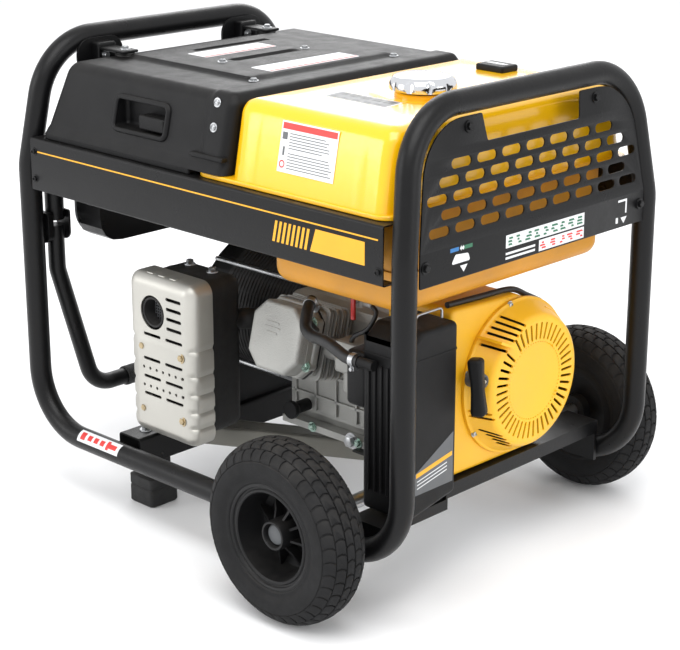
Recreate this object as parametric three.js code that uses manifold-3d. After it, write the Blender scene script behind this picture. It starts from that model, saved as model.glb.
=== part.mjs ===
// An open-frame petrol welding generator on two wheels.
// Units are millimetres. +Z is up, +X points to the recoil-starter end, -Y to the muffler side.
// The origin is on the ground, in the middle of the machine's footprint.
import * as THREE from "three";
import { RoundedBoxGeometry } from "three/addons/geometries/RoundedBoxGeometry.js";
import { mergeVertices } from "three/addons/utils/BufferGeometryUtils.js";
import Module from "manifold-3d";

const wasm = await Module();
wasm.setup();

// ---------------------------------------------------------------- driving dimensions

const GAP = 0.3; // air left between pieces that touch
const SIDES = [
  ["near", -1],
  ["far", 1],
];
const ENDS = [
  ["left", -1],
  ["right", 1],
];

const TUBE = 16; // radius of the frame tube
const FRAME = { x: 369, y: 248, railZ: 94, jointZ: 215, foldZ: 497, topZ: 675, bend: 92, leanX: 18, leanY: 28 };
const INNER_Y = FRAME.y - TUBE - GAP; // cross pieces reach this far to the side tubes

const PANEL = { x: 346, y: 262, z0: 464, z1: 541, sheet: 2, topLip: 37, bottomLip: 22 };
const SHELF = PANEL.z1 + GAP; // tank and cover stand on the panels' top lips

const WHEEL = { x: 230, y: 317, radius: 125, halfWidth: 37, bore: 10.6, rim: 66 };
const AXLE = 10;

const CRANK = { y: 40, z: 267, radius: 15 };
const BORE_TILT = THREE.MathUtils.degToRad(-14); // the cylinder rises towards the near side
const CYLINDER = { x: 70, y: 20, half: 52, start: 110, head: 167.7, face: 208 };

const TANK = { x0: 50.3, x1: 335, y: 244, z1: 652, wall: 5, draft: 0.09, flangeX: -12, flangeY: 249, flange: 7 };
const BASIN = { x0: 92, x1: 328, y: 208, z0: 408 };
const FILLER = { x: 205, y: -35, bore: 30, neck: 38, z: 655.3 };

const COVER = { x0: -335, x1: 50, y: 250, z1: 652, wall: 4, slope: 35, draft: 0.105 };
const PULL = { x0: -178, x1: -76, z0: 580, z1: 619, y: -218 };

const BOX = { x0: -345, x1: -290, y: 186, z0: 378, corner: 40 };
const PANEL_FACE = -350; // front face of the control panel
const HANDLE = { x: -369, y: 208, pivotZ: 388, topZ: 398, elbowZ: 330, gripY: 150, gripZ: 128, tube: 13.5 };

const MUFFLER = { x0: -170, x1: -48, y0: -212, y1: -126, z0: 142, z1: 370 };
const GUARD = { x0: -178, x1: -40, front: -235, back: -193, z0: 133, z1: 374, sheet: 2.5 };
const EXHAUST = { x: -122, z: 321, radius: 22 };

const AIR_CASE = { x0: 257, x1: 340, y0: -205, y1: -110, z0: 128, z1: 386, rise: 20, slopeY: 26, slopeZ: 22 };
const DUCT = { x0: 227, y1: -154, z0: 268, z1: 345 }; // the air case's outlet, on its left side
const BREATHER = { y: -214, z: 337, radius: 8, end: 262 };
const SHROUD = { x0: 200, x1: 311.7, sheet: 3 };
const RECOIL = { x0: 312, x1: 349, base: 110, face: 92, slots: 44 };
const EYELET = new THREE.Vector3(346, -64, 291);
const GRIP = { reach: 31, radius: 11, half: 40, rise: 4, tilt: 0.09 };
const PULL_WAY = new THREE.Vector3(0.4, -0.9165, 0);

// ---------------------------------------------------------------- solids and shapes

const X = new THREE.Vector3(1, 0, 0);
const Y = new THREE.Vector3(0, 1, 0);
const Z = new THREE.Vector3(0, 0, 1);
const vector = (x, y, z) => new THREE.Vector3(x, y, z);

// A closed geometry as a manifold solid.
function solid(geometry) {
  const bare = geometry.clone();
  bare.deleteAttribute("normal");
  bare.deleteAttribute("uv");
  const merged = mergeVertices(bare, 1e-3);
  const index = merged.index.array;
  const triangles = [];
  for (let i = 0; i < index.length; i += 3) {
    const [a, b, c] = [index[i], index[i + 1], index[i + 2]];
    if (a !== b && b !== c && c !== a) triangles.push(a, b, c);
  }
  return new wasm.Manifold(
    new wasm.Mesh({
      numProp: 3,
      vertProperties: merged.attributes.position.array,
      triVerts: new Uint32Array(triangles),
    }),
  );
}

// A manifold solid as a geometry.
function shell(made) {
  const mesh = made.getMesh();
  const geometry = new THREE.BufferGeometry();
  geometry.setAttribute("position", new THREE.BufferAttribute(new Float32Array(mesh.vertProperties), 3));
  geometry.setIndex(new THREE.BufferAttribute(new Uint32Array(mesh.triVerts), 1));
  return geometry;
}

const join = (...parts) => shell(parts.map(solid).reduce((all, part) => all.add(part)));
const cut = (body, ...tools) => shell(tools.map(solid).reduce((left, tool) => left.subtract(tool), solid(body)));
const common = (a, b) => shell(solid(a).intersect(solid(b)));

const box = (x0, x1, y0, y1, z0, z1) =>
  new THREE.BoxGeometry(x1 - x0, y1 - y0, z1 - z0).translate((x0 + x1) / 2, (y0 + y1) / 2, (z0 + z1) / 2);

function softBox(x0, x1, y0, y1, z0, z1, radius, segments = 2) {
  const made = new RoundedBoxGeometry(x1 - x0, y1 - y0, z1 - z0, segments, radius);
  return made.translate((x0 + x1) / 2, (y0 + y1) / 2, (z0 + z1) / 2);
}

// Turns a geometry made along +Y so that it runs along another axis.
function turnTo(geometry, axis) {
  if (axis === "x") return geometry.rotateZ(-Math.PI / 2);
  if (axis === "z") return geometry.rotateX(Math.PI / 2);
  return geometry;
}

// A round bar between two stations on an axis; centre holds the two other coordinates.
function rod(axis, radius, from, to, centre, sides = 16) {
  const bar = turnTo(new THREE.CylinderGeometry(radius, radius, to - from, sides), axis);
  const middle = (from + to) / 2;
  const at = { x: [middle, ...centre], y: [centre[0], middle, centre[1]], z: [...centre, middle] };
  return bar.translate(...at[axis]);
}

const ring = (axis, radius, bore, from, to, centre, sides = 24) =>
  cut(rod(axis, radius, from, to, centre, sides), rod(axis, bore, from - 1, to + 1, centre, sides));

// A turned piece. The profile is [radius, station along the axis], listed anticlockwise.
function turned(axis, profile, centre, sides = 24, closed = false) {
  const points = profile.map(([r, s]) => new THREE.Vector2(r, s));
  if (closed) points.push(points[0].clone());
  const made = turnTo(new THREE.LatheGeometry(points, sides), axis);
  const at = { x: [0, ...centre], y: [centre[0], 0, centre[1]], z: [...centre, 0] };
  return made.translate(...at[axis]);
}

// A closed outline from [u, v, corner radius] points.
function outline(points) {
  const shape = new THREE.Shape();
  points.forEach(([u, v, radius = 0], i) => {
    const here = new THREE.Vector2(u, v);
    const before = new THREE.Vector2(...points.at(i - 1)).sub(here).setLength(radius).add(here);
    const after = new THREE.Vector2(...points[(i + 1) % points.length]).sub(here).setLength(radius).add(here);
    if (i === 0) shape.moveTo(before.x, before.y);
    else shape.lineTo(before.x, before.y);
    if (radius > 0) shape.quadraticCurveTo(u, v, after.x, after.y);
  });
  shape.closePath();
  return shape;
}

const PRISM_WAY = {
  x: new THREE.Matrix4().makeBasis(Y, Z, X), // outline in Y and Z
  y: new THREE.Matrix4().makeBasis(X, Z, Y.clone().negate()), // outline in X and Z
  z: new THREE.Matrix4(), // outline in X and Y
};

// A flat outline pushed along an axis between two stations.
function prism(axis, points, from, to, bends = 4) {
  const made = new THREE.ExtrudeGeometry(outline(points), { depth: to - from, bevelEnabled: false, curveSegments: bends });
  made.applyMatrix4(PRISM_WAY[axis]);
  const start = { x: [from, 0, 0], y: [0, to, 0], z: [0, 0, from] };
  return made.translate(...start[axis]);
}

const rectangle = (u0, u1, v0, v1, radius = 0) => [
  [u0, v0, radius],
  [u1, v0, radius],
  [u1, v1, radius],
  [u0, v1, radius],
];

// A long slot with narrowed ends, lying along u.
function slotOutline(u, v, length, width) {
  const [l, w] = [length / 2, width / 2];
  const shoulder = l - w * 0.7;
  return [
    [u - shoulder, v - w],
    [u + shoulder, v - w],
    [u + l, v],
    [u + shoulder, v + w],
    [u - shoulder, v + w],
    [u - l, v],
  ];
}

// A line through given points, used as it is: the tube below puts one ring of vertices at each point.
class BentLine extends THREE.Curve {
  constructor(points) {
    super();
    this.points = points;
  }
  getPoint(t, target = new THREE.Vector3()) {
    const span = t * (this.points.length - 1);
    const leg = Math.min(Math.floor(span + 1e-9), this.points.length - 2);
    return target.copy(this.points[leg]).lerp(this.points[leg + 1], span - leg);
  }
  getPointAt(u, target) {
    return this.getPoint(u, target);
  }
  getTangentAt(u, target = new THREE.Vector3()) {
    const i = Math.round(u * (this.points.length - 1));
    target.set(0, 0, 0);
    for (const leg of [i - 1, i]) {
      if (leg < 0 || leg + 1 >= this.points.length) continue;
      target.add(this.points[leg + 1].clone().sub(this.points[leg]).normalize());
    }
    return target.normalize();
  }
}

// The points of a route whose inner corners are bent to a radius.
function bentRoute(corners, bend, degreesPerStep = 22.5) {
  const route = [corners[0]];
  for (let i = 1; i < corners.length - 1; i++) {
    const back = corners[i - 1].clone().sub(corners[i]).normalize();
    const ahead = corners[i + 1].clone().sub(corners[i]).normalize();
    const turn = Math.PI - back.angleTo(ahead);
    const reach = bend * Math.tan(turn / 2);
    const middle = back.clone().add(ahead).setLength(bend / Math.cos(turn / 2)).add(corners[i]);
    const start = corners[i].clone().addScaledVector(back, reach).sub(middle);
    const end = corners[i].clone().addScaledVector(ahead, reach).sub(middle);
    const steps = Math.max(2, Math.round(THREE.MathUtils.radToDeg(turn) / degreesPerStep));
    for (let k = 0; k <= steps; k++) {
      const a = Math.sin((1 - k / steps) * turn) / Math.sin(turn);
      const b = Math.sin((k / steps) * turn) / Math.sin(turn);
      route.push(start.clone().multiplyScalar(a).addScaledVector(end, b).add(middle));
    }
  }
  route.push(corners.at(-1));
  return route;
}

// A round tube or wire along a route.
function tube(route, radius, sides = 10) {
  const section = [];
  for (let i = 0; i < sides; i++) {
    const angle = (2 * Math.PI * i) / sides;
    section.push(new THREE.Vector2(radius * Math.cos(angle), radius * Math.sin(angle)));
  }
  const path = new BentLine(route);
  return new THREE.ExtrudeGeometry(new THREE.Shape(section), { steps: route.length - 1, extrudePath: path });
}

// Moves every vertex of a geometry by a rule.
function reshape(geometry, rule) {
  const position = geometry.attributes.position;
  const point = new THREE.Vector3();
  for (let i = 0; i < position.count; i++) {
    point.fromBufferAttribute(position, i);
    rule(point);
    position.setXYZ(i, point.x, point.y, point.z);
  }
  return geometry;
}

// ---------------------------------------------------------------- finishes

const finish = (color, roughness, metalness) => ({ color, roughness, metalness });
const FINISH = {
  black_paint: finish(0x1c1c1e, 0.42, 0.1),
  black_plastic: finish(0x161617, 0.5, 0),
  yellow_paint: finish(0xf5b90a, 0.35, 0.05),
  gold_plastic: finish(0xe8a80f, 0.45, 0),
  rubber: finish(0x1d1d1e, 0.9, 0),
  foam: finish(0x141414, 0.95, 0),
  cast: finish(0xa9a9a4, 0.5, 0.8),
  steel: finish(0x8d8f92, 0.4, 0.9),
  silver: finish(0xb4b3ac, 0.4, 0.7),
  chrome: finish(0xcdced0, 0.2, 1),
  grey_plastic: finish(0x55575a, 0.55, 0),
  red_plastic: finish(0xb3211c, 0.45, 0),
  copper: finish(0xa8662f, 0.5, 0.8),
  rope: finish(0xd8d4c8, 0.95, 0),
};

const machine = new THREE.Group();
machine.name = "engine_driven_welder";

function add(name, geometry, finishName) {
  const flat = geometry.index ? geometry.toNonIndexed() : geometry;
  flat.computeVertexNormals();
  const mesh = new THREE.Mesh(flat, new THREE.MeshStandardMaterial(FINISH[finishName]));
  mesh.name = name;
  machine.add(mesh);
}

// ---------------------------------------------------------------- tube frame

function hoop(end) {
  const foot = (side, z) => vector(end * FRAME.x, side * FRAME.y, z);
  const corner = (side) => vector(end * (FRAME.x - FRAME.leanX), side * (FRAME.y - FRAME.leanY), FRAME.topZ);
  const corners = [
    foot(-1, FRAME.jointZ),
    foot(-1, FRAME.foldZ),
    corner(-1),
    corner(1),
    foot(1, FRAME.foldZ),
    foot(1, FRAME.jointZ),
  ];
  return tube(bentRoute(corners, FRAME.bend), TUBE, 12);
}

function bottomRail(side) {
  const at = (x, z) => vector(x, side * FRAME.y, z);
  const corners = [
    at(-FRAME.x, FRAME.jointZ - GAP),
    at(-FRAME.x, FRAME.railZ),
    at(FRAME.x, FRAME.railZ),
    at(FRAME.x, FRAME.jointZ - GAP),
  ];
  return tube(bentRoute(corners, FRAME.bend), TUBE, 12);
}

// The channel under the alternator, open at the bottom, from rail to rail.
const CROSS = { x0: -208, x1: -161, z0: 75.3, z1: 118, sheet: 3.2 };

function leftCrossmember() {
  const { x0, x1, z0, z1, sheet } = CROSS;
  const section = [
    [x0, z0],
    [x0 + sheet, z0],
    [x0 + sheet, z1 - sheet],
    [x1 - sheet, z1 - sheet],
    [x1 - sheet, z0],
    [x1, z0],
    [x1, z1],
    [x0, z1],
  ];
  return prism("y", section, -INNER_Y, INNER_Y);
}

// The tray under the engine: a plate, a front lip and a beam with legs that reach down to the rails.
// Its near end is dropped, to pass under the air cleaner.
const TRAY = { x0: 140, beamX: 262, x1: 318, y0: -100, y1: 130, z0: 128, z1: 148, sheet: 3, legZ: 86, leg: 6 };
const DROP = { y: -104, z0: 112, z1: 127 };

function rightCrossmember() {
  const { x0, beamX, x1, y0, y1, z0, z1, sheet, legZ, leg } = TRAY;
  const legs = SIDES.map(([, side]) => {
    const [inner, outer] = [side * (INNER_Y - leg), side * INNER_Y].sort((a, b) => a - b);
    return box(beamX, x1, inner, outer, legZ, side < 0 ? DROP.z1 : z1);
  });
  return join(
    box(x0, x1, y0, y1, z1 - sheet, z1),
    box(beamX, x1, DROP.y, INNER_Y, z1 - sheet, z1),
    box(x1 - sheet, x1, DROP.y, INNER_Y, z0, z1),
    box(beamX, beamX + sheet, DROP.y, INNER_Y, z0, z1),
    box(beamX, x1, DROP.y, DROP.y + sheet, DROP.z0, z1),
    box(beamX, x1, -INNER_Y, DROP.y + sheet, DROP.z0, DROP.z1),
    ...legs,
  );
}

// The channel that crosses from the left crossmember to the engine's foot.
const CHANNEL = { x: -150, y: -116, length: 290, width: 42, z0: 90, z1: 118, sheet: 3, yaw: 28.3 };

function engineChannel() {
  const { x, y, length, width, z0, z1, sheet, yaw } = CHANNEL;
  const half = width / 2;
  const bar = join(
    box(-40, length, -half, half, z1 - sheet, z1),
    box(-40, length, -half, -half + sheet, z0, z1),
    box(-40, length, half - sheet, half, z0, z1),
    box(length - sheet, length, -half, half, z0, z1),
  );
  bar.rotateZ(THREE.MathUtils.degToRad(yaw)).translate(x, y, 0);
  return cut(bar, box(-400, CROSS.x1 + GAP, -300, 300, 0, 200));
}

const FOOT = { x: -190, y: 185, half: 26, waist: 20, stepZ: 44 };

function foot(side) {
  const { x, y, half, waist, stepZ } = FOOT;
  const block = (reach, z0, z1) =>
    prism("z", rectangle(x - reach, x + reach, side * y - reach, side * y + reach, 7), z0, z1, 2);
  return join(block(half, 0, stepZ), block(waist, stepZ - 1, CROSS.z0 - GAP));
}

function addFrame() {
  for (const [name, end] of ENDS) add(`frame_hoop_${name}`, hoop(end), "black_paint");
  for (const [name, side] of SIDES) add(`bottom_rail_${name}`, bottomRail(side), "black_paint");
  add("crossmember_left", leftCrossmember(), "black_paint");
  add("engine_tray", rightCrossmember(), "black_paint");
  add("engine_channel", engineChannel(), "steel");
  for (const [name, side] of SIDES) add(`foot_${name}`, foot(side), "rubber");
}

// ---------------------------------------------------------------- wheels

function tyre(side) {
  const half = [
    [WHEEL.radius, 0],
    [WHEEL.radius - 1.5, 18],
    [WHEEL.radius - 9, 31],
    [WHEEL.radius - 25, WHEEL.halfWidth],
    [WHEEL.radius - 45, WHEEL.halfWidth - 1],
    [WHEEL.rim, 29],
  ];
  const mirrored = half.slice(1).map(([r, s]) => [r, -s]).reverse();
  return turned("y", [...mirrored, ...half], [WHEEL.x, WHEEL.radius], 24, true).translate(0, side * WHEEL.y, 0);
}

// A deep dish: the hub and its ribs stand in a barrel, and the web is towards the frame.
function rim(side) {
  const barrel = WHEEL.rim - GAP;
  const section = [
    [WHEEL.bore, -30],
    [22, -30],
    [22, -10],
    [58, -14],
    [60, -31],
    [barrel, -31],
    [barrel, 31],
    [61, 31],
    [55, -5],
    [21, 2],
    [21, 26],
    [WHEEL.bore, 26],
  ];
  const ribs = [];
  const RIBS = 8;
  for (let i = 0; i < RIBS; i++) {
    ribs.push(box(19, 59, -8, 13, -2, 2).rotateY((2 * Math.PI * i) / RIBS));
  }
  const made = join(turned("y", section, [0, 0], 24, true), ...ribs);
  if (side < 0) made.rotateZ(Math.PI);
  return made.translate(WHEEL.x, side * WHEEL.y, WHEEL.radius);
}

function addWheels() {
  add("axle_rod", rod("y", AXLE, -347, 347, [WHEEL.x, WHEEL.radius]), "steel");
  for (const [name, side] of SIDES) {
    add(`tyre_${name}`, tyre(side), "rubber");
    add(`wheel_rim_${name}`, rim(side), "black_plastic");
  }
}

// ---------------------------------------------------------------- side panels and slotted end plate

function sidePanel(side) {
  const { x, y, z0, z1, sheet, topLip, bottomLip } = PANEL;
  const section = [
    [y, z0],
    [y, z1],
    [y - topLip, z1],
    [y - topLip, z1 - sheet],
    [y - sheet, z1 - sheet],
    [y - sheet, z0 + sheet],
    [y - bottomLip, z0 + sheet],
    [y - bottomLip, z0],
  ];
  const made = prism("x", section, -x, x);
  return side > 0 ? made : made.rotateZ(Math.PI);
}

const GRILLE = { x: 379, y: 231, z0: 461, sheet: 2.5, slot: 38, slotHeight: 12.5, pitch: 48.5, rowPitch: 19.8, rowZ: 526, top: 660, shoulder: 206 };
const GRILLE_ROWS = [9, 8, 9, 8, 7];

function slottedPlate() {
  const { x, y, z0, sheet, slot, slotHeight, pitch, rowPitch, rowZ, top, shoulder } = GRILLE;
  const foldZ = 505;
  const upper = [
    [-y, foldZ - 2],
    [y, foldZ - 2],
    [shoulder, top, FRAME.bend],
    [-shoulder, top, FRAME.bend],
  ];
  const holes = [];
  GRILLE_ROWS.forEach((count, row) => {
    for (let i = 0; i < count; i++) {
      const at = (i - (count - 1) / 2) * pitch;
      const points = slotOutline(at, rowZ + row * rowPitch, slot, slotHeight);
      holes.push(prism("x", points, x - sheet - 2, x + 2));
    }
  });
  // The hand notch is open at the top, where the hoop closes it.
  const hand = [
    [-94, 624, 4],
    [94, 624, 4],
    [96, top + 5],
    [-103, top + 5],
  ];
  holes.push(prism("x", hand, x - sheet - 2, x + 2, 2));
  const lean = Math.atan(FRAME.leanX / (FRAME.topZ - FRAME.foldZ));
  const leaning = cut(prism("x", upper, x - sheet, x, 5), ...holes)
    .translate(-x, 0, -foldZ)
    .rotateY(-lean)
    .translate(x, 0, foldZ);
  return join(leaning, box(x - sheet, x, -y, y, z0, foldZ));
}

// ---------------------------------------------------------------- fuel tank

// The outside of the tank grown inwards by a wall thickness.
function tankBody(wall) {
  const crown = softBox(TANK.x0 + wall, TANK.x1 - wall, wall - TANK.y, TANK.y - wall, 520, TANK.z1 - wall, 24);
  reshape(crown, (p) => {
    const up = THREE.MathUtils.clamp((p.z - SHELF) / (TANK.z1 - SHELF), 0, 1);
    p.y *= 1 - TANK.draft * up;
    if (p.x > TANK.x0 + 100) p.x -= 5 * up;
  });
  const basin = softBox(BASIN.x0 + wall, BASIN.x1 - wall, wall - BASIN.y, BASIN.y - wall, BASIN.z0 + wall, 600, 20, 1);
  const above = common(crown, box(0, 400, -300, 300, SHELF + wall, 700));
  return join(above, basin);
}

function tank() {
  const { flangeX, flangeY } = TANK;
  const rim = rectangle(flangeX, TANK.x1 + 9, -flangeY, flangeY, 26);
  const flange = prism("z", rim, SHELF, SHELF + TANK.flange, 3);
  const neck = rod("z", FILLER.neck, TANK.z1 - TANK.wall - 6, FILLER.z, [FILLER.x, FILLER.y], 24);
  const throat = rod("z", FILLER.bore, TANK.z1 - TANK.wall - 12, FILLER.z + 1, [FILLER.x, FILLER.y], 24);
  return cut(join(tankBody(0), flange, neck), tankBody(TANK.wall), throat);
}

function fuelCap() {
  const z = FILLER.z + 2.4;
  const profile = [
    [0, z],
    [45, z],
    [45, z + 14],
    [41, z + 19],
    [30, z + 20],
    [0, z + 20],
  ];
  return turned("z", profile, [FILLER.x, FILLER.y], 24);
}

const TAP = { x: 182, y: -128, z: 392 };

function fuelTap() {
  const { x, y, z } = TAP;
  return join(
    rod("z", 9, z - 18, BASIN.z0 - GAP, [x, y], 12),
    rod("y", 6, y - 12, y, [x, z - 6], 10),
    rod("x", 5, x, x + 22, [y, z - 12], 10),
  );
}

function addTank() {
  add("fuel_tank", tank(), "yellow_paint");
  const seal = ring("z", FILLER.neck - 2, FILLER.bore, FILLER.z + GAP, FILLER.z + 2.1, [FILLER.x, FILLER.y]);
  add("cap_gasket", seal, "rubber");
  add("fuel_cap", fuelCap(), "chrome");
  add("fuel_gauge", softBox(140, 190, 147, 183, TANK.z1 + GAP, TANK.z1 + 9, 3, 1), "black_plastic");
  add("fuel_tap_body", fuelTap(), "cast");
  const lever = box(TAP.x - 4, TAP.x + 4, TAP.y - 17, TAP.y - 12 - GAP, TAP.z - 34, TAP.z - 2);
  add("fuel_tap_lever", lever, "red_plastic");
}

// ---------------------------------------------------------------- top cover and what it hides

// The cover's outer form, or its inside when wall is more than zero. Its left end leans in.
function coverBody(wall) {
  const form = softBox(COVER.x0 + wall, COVER.x1 - wall, wall - COVER.y, COVER.y - wall, 500, COVER.z1 - wall, 18);
  return reshape(form, (p) => {
    const up = THREE.MathUtils.clamp((p.z - SHELF) / (COVER.z1 - SHELF), 0, 1);
    p.y *= 1 - COVER.draft * up;
    if (p.x < COVER.x0 + 100) p.x += COVER.slope * up;
  });
}

function topCover() {
  const below = box(-500, 200, -300, 300, 400, SHELF);
  const overFlange = box(TANK.flangeX - 1, 200, -300, 300, 400, SHELF + TANK.flange + GAP);
  const { x0, x1, z0, z1, y } = PULL;
  const wall = COVER.wall;
  const pocket = common(coverBody(0), box(x0 - wall, x1 + wall, -COVER.y, y + wall, z0 - wall, z1 + wall));
  const skin = cut(coverBody(0), coverBody(wall), below, overFlange);
  return cut(join(skin, pocket), box(x0, x1, -COVER.y - 5, y, z0, z1));
}

const MOUNT = { y: 140, half: 14, plate: 4, wing: 42, wingZ: 638 };

// A bracket that ties the cover to the hoop above it: a tab on a round rubber bush, and a rounded wing
// that stands along the hoop.
function coverMount(side) {
  const reachX = -(FRAME.x - FRAME.leanX - TUBE - GAP);
  const seat = COVER.z1 + GAP;
  const { half, plate, wing, wingZ } = MOUNT;
  const y = side * MOUNT.y;
  const lobe = [
    [y - wing, wingZ, 6],
    [y + wing, wingZ, 6],
    [y + wing, FRAME.topZ, 22],
    [y - wing, FRAME.topZ, 22],
  ];
  return join(
    rod("z", half - 1, seat, seat + 6, [reachX + 60, y], 16),
    box(reachX, reachX + 73, y - half, y + half, seat + 6 - 0.5, seat + 6 + plate),
    prism("x", lobe, reachX, reachX + plate, 3),
  );
}

const INVERTER = { x0: -270, x1: -40, y: 160, z0: 485, z1: 600, fins: 9 };

function inverter() {
  const { x0, x1, y, z0, z1, fins } = INVERTER;
  const blades = [];
  for (let i = 0; i < fins; i++) {
    const at = -y + 10 + (i * 2 * (y - 12)) / (fins - 1);
    blades.push(box(x0 + 10, x1 - 10, at - 2, at + 2, z0 - 22, z0 + 2));
  }
  return join(box(x0, x1, -y, y, z0, z1), ...blades);
}

function addCover() {
  add("top_cover", topCover(), "black_plastic");
  for (const [name, side] of SIDES) add(`cover_mount_${name}`, coverMount(side), "black_paint");
  add("inverter_module", inverter(), "grey_plastic");
}

// ---------------------------------------------------------------- control box on the left end

function controlBox() {
  const { x0, x1, y, z0, corner } = BOX;
  const section = (inset) => [
    [-y + inset, z0 + inset, corner],
    [y - inset, z0 + inset, corner],
    [y - inset, PANEL.z1 - GAP - inset],
    [-y + inset, PANEL.z1 - GAP - inset],
  ];
  const sheet = 2.5;
  const vents = [];
  for (const [, side] of SIDES) {
    for (let i = 0; i < 4; i++) {
      const z = z0 + 62 + i * 12;
      vents.push(box(x1 - 5, x1 + 5, side * 140 - 22, side * 140 + 22, z, z + 4));
    }
  }
  return cut(prism("x", section(0), x0, x1), prism("x", section(sheet), x0 - 1, x1 - sheet), ...vents);
}

function controlPanel() {
  const { y, z0, corner } = BOX;
  const face = [
    [-y, z0, corner],
    [y, z0, corner],
    [y, PANEL.z1 - GAP],
    [-y, PANEL.z1 - GAP],
  ];
  return prism("x", face, PANEL_FACE, BOX.x0 - GAP);
}

const LID = { half: 26, thick: 6, y: 120, hinge: 3 };
const LID_Z = { lower: 428, upper: 496 };
const SOCKET = { z: 425, reach: 18, radius: 19, bore: 9 };
const SOCKET_Y = { minus: -125, plus: -70 };

function outletLid(z) {
  const front = PANEL_FACE - GAP;
  const { half, thick, y, hinge } = LID;
  return join(
    prism("x", rectangle(y - half, y + half, z - half, z + half, 5), front - thick, front, 2),
    rod("y", hinge, y - half + 4, y + half - 4, [front - hinge, z + half], 10),
  );
}

function currentKnob() {
  const front = PANEL_FACE - GAP;
  const cap = turned("x", [[0, front - 15], [14, front - 15], [17, front - 12], [18, front], [0, front]], [-10, 490], 16);
  return join(cap, box(front - 17, front - 14, -11.5, -8.5, 490, 503));
}

// A key in its barrel; its blade-shaped bow stands out of the panel.
function ignitionKey() {
  const front = PANEL_FACE - GAP;
  const [y, z] = [-130, 490];
  return join(
    rod("x", 9, front - 6, front, [y, z], 16),
    box(front - 22, front - 5, y - 1.2, y + 1.2, z - 10, z + 10),
  );
}

function addControls() {
  const front = PANEL_FACE - GAP;
  add("control_box", controlBox(), "black_paint");
  add("control_panel", controlPanel(), "grey_plastic");
  for (const [name, z] of Object.entries(LID_Z)) add(`outlet_lid_${name}`, outletLid(z), "black_plastic");
  for (const [name, y] of Object.entries(SOCKET_Y)) {
    const collar = ring("x", SOCKET.radius, SOCKET.bore, front - SOCKET.reach, front, [y, SOCKET.z], 20);
    add(`weld_socket_${name}`, collar, name === "plus" ? "red_plastic" : "black_plastic");
  }
  add("current_knob", currentKnob(), "black_plastic");
  add("ignition_key", ignitionKey(), "steel");
  add("breaker_button", rod("x", 7, front - 8, front, [40, 430], 16), "black_plastic");
}

// ---------------------------------------------------------------- fold-down handle

function handleTube() {
  const { x, y, topZ, elbowZ, gripY, gripZ, tube: radius } = HANDLE;
  const corners = [
    vector(x, -y, topZ),
    vector(x, -y, elbowZ),
    vector(x, -gripY, gripZ),
    vector(x, gripY, gripZ),
    vector(x, y, elbowZ),
    vector(x, y, topZ),
  ];
  return tube(bentRoute(corners, 45, 20), radius);
}

// A short fixed tube with two cheeks round the arm's top, tied to the upright.
function handleBracket(side) {
  const { x, y, pivotZ } = HANDLE;
  const stub = 14.2;
  const cheek = (near, far) => {
    const [lo, hi] = [side * (y + near), side * (y + far)].sort((a, b) => a - b);
    return box(x - 15.5, x + 15.5, lo, hi, pivotZ - 14, pivotZ + 32);
  };
  const upright = FRAME.y - TUBE - GAP - y;
  return join(
    rod("z", stub, pivotZ + 18.5, PANEL.z0 - GAP, [x, side * y], 12),
    cheek(-17, -13.9),
    cheek(13.9, 17),
    cheek(16, upright),
  );
}

function addHandle() {
  add("handle_tube", handleTube(), "black_paint");
  const { x, gripZ, tube: radius } = HANDLE;
  add("handle_grip", ring("y", radius + 2, radius + GAP + 0.2, -90, 90, [x, gripZ], 16), "foam");
  for (const [name, side] of SIDES) add(`handle_bracket_${name}`, handleBracket(side), "black_paint");
}

// ---------------------------------------------------------------- engine

// Moves a piece made with its bore along -Y, from beside the crank axis, into place.
const alongBore = (geometry) => geometry.rotateX(BORE_TILT).translate(CYLINDER.x, CYLINDER.y, CRANK.z);
const CRANK_AXIS = [CRANK.y, CRANK.z];

function crankcase() {
  const floor = TRAY.z1 + GAP;
  const block = softBox(-15, 185, -75, 118, floor + 6, 345, 16, 1);
  const base = box(-12, 184, -88, 124, floor, floor + 10);
  const leg = box(30, 92, -30, 34, CHANNEL.z1 + GAP, floor + 4);
  const neck = alongBore(box(-44, 44, -CYLINDER.start + GAP, -80, -44, 44));
  const room = box(-5, 175, -66, 109, floor + 18, 335);
  const shaft = rod("x", CRANK.radius + 5, -30, 200, CRANK_AXIS);
  return cut(join(block, base, leg, neck), room, shaft);
}

function cylinder() {
  const { half, start, head } = CYLINDER;
  const FINS = 5;
  const parts = [box(-42, 42, -head, -start, -42, 42)];
  for (let i = 0; i < FINS; i++) {
    const at = start + 3 + (i * (head - start - 22)) / (FINS - 1);
    parts.push(box(-half, half, -at - 3, -at, -half, half));
  }
  parts.push(box(-half, half, -head, -head + 14, -half, half));
  const bore = rod("y", 30, -head + 20, -start + 1, [0, 0], 16);
  return alongBore(cut(join(...parts), bore));
}

// An eight-sided cast cover with a flange and a raised middle.
function octagon(half, chamfer) {
  return [
    [half - chamfer, -half],
    [half, chamfer - half],
    [half, half - chamfer],
    [half - chamfer, half],
    [chamfer - half, half],
    [-half, half - chamfer],
    [-half, chamfer - half],
    [chamfer - half, -half],
  ];
}

function valveCover() {
  const { head, face } = CYLINDER;
  const flange = prism("y", octagon(53, 24), -head - 9, -head - GAP);
  const body = prism("y", octagon(46, 24), -face + 8, -head - 8);
  const cap = prism("y", octagon(40, 21), -face, -face + 9);
  return alongBore(join(flange, body, cap));
}

// The sheet cover round the fan, open towards the engine and at its round mouth.
function shroudOutline(inset) {
  const i = inset;
  return [
    [-92 + i, 152 + i, 10],
    [104 - i, 150 + i, 30],
    [153 - i, 196, 30],
    [153 - i, 306, 30],
    [108 - i, 352 - i, 20],
    [44, 381 - i, 20],
    [-92 + i, 388 - i, 10],
  ];
}

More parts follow.
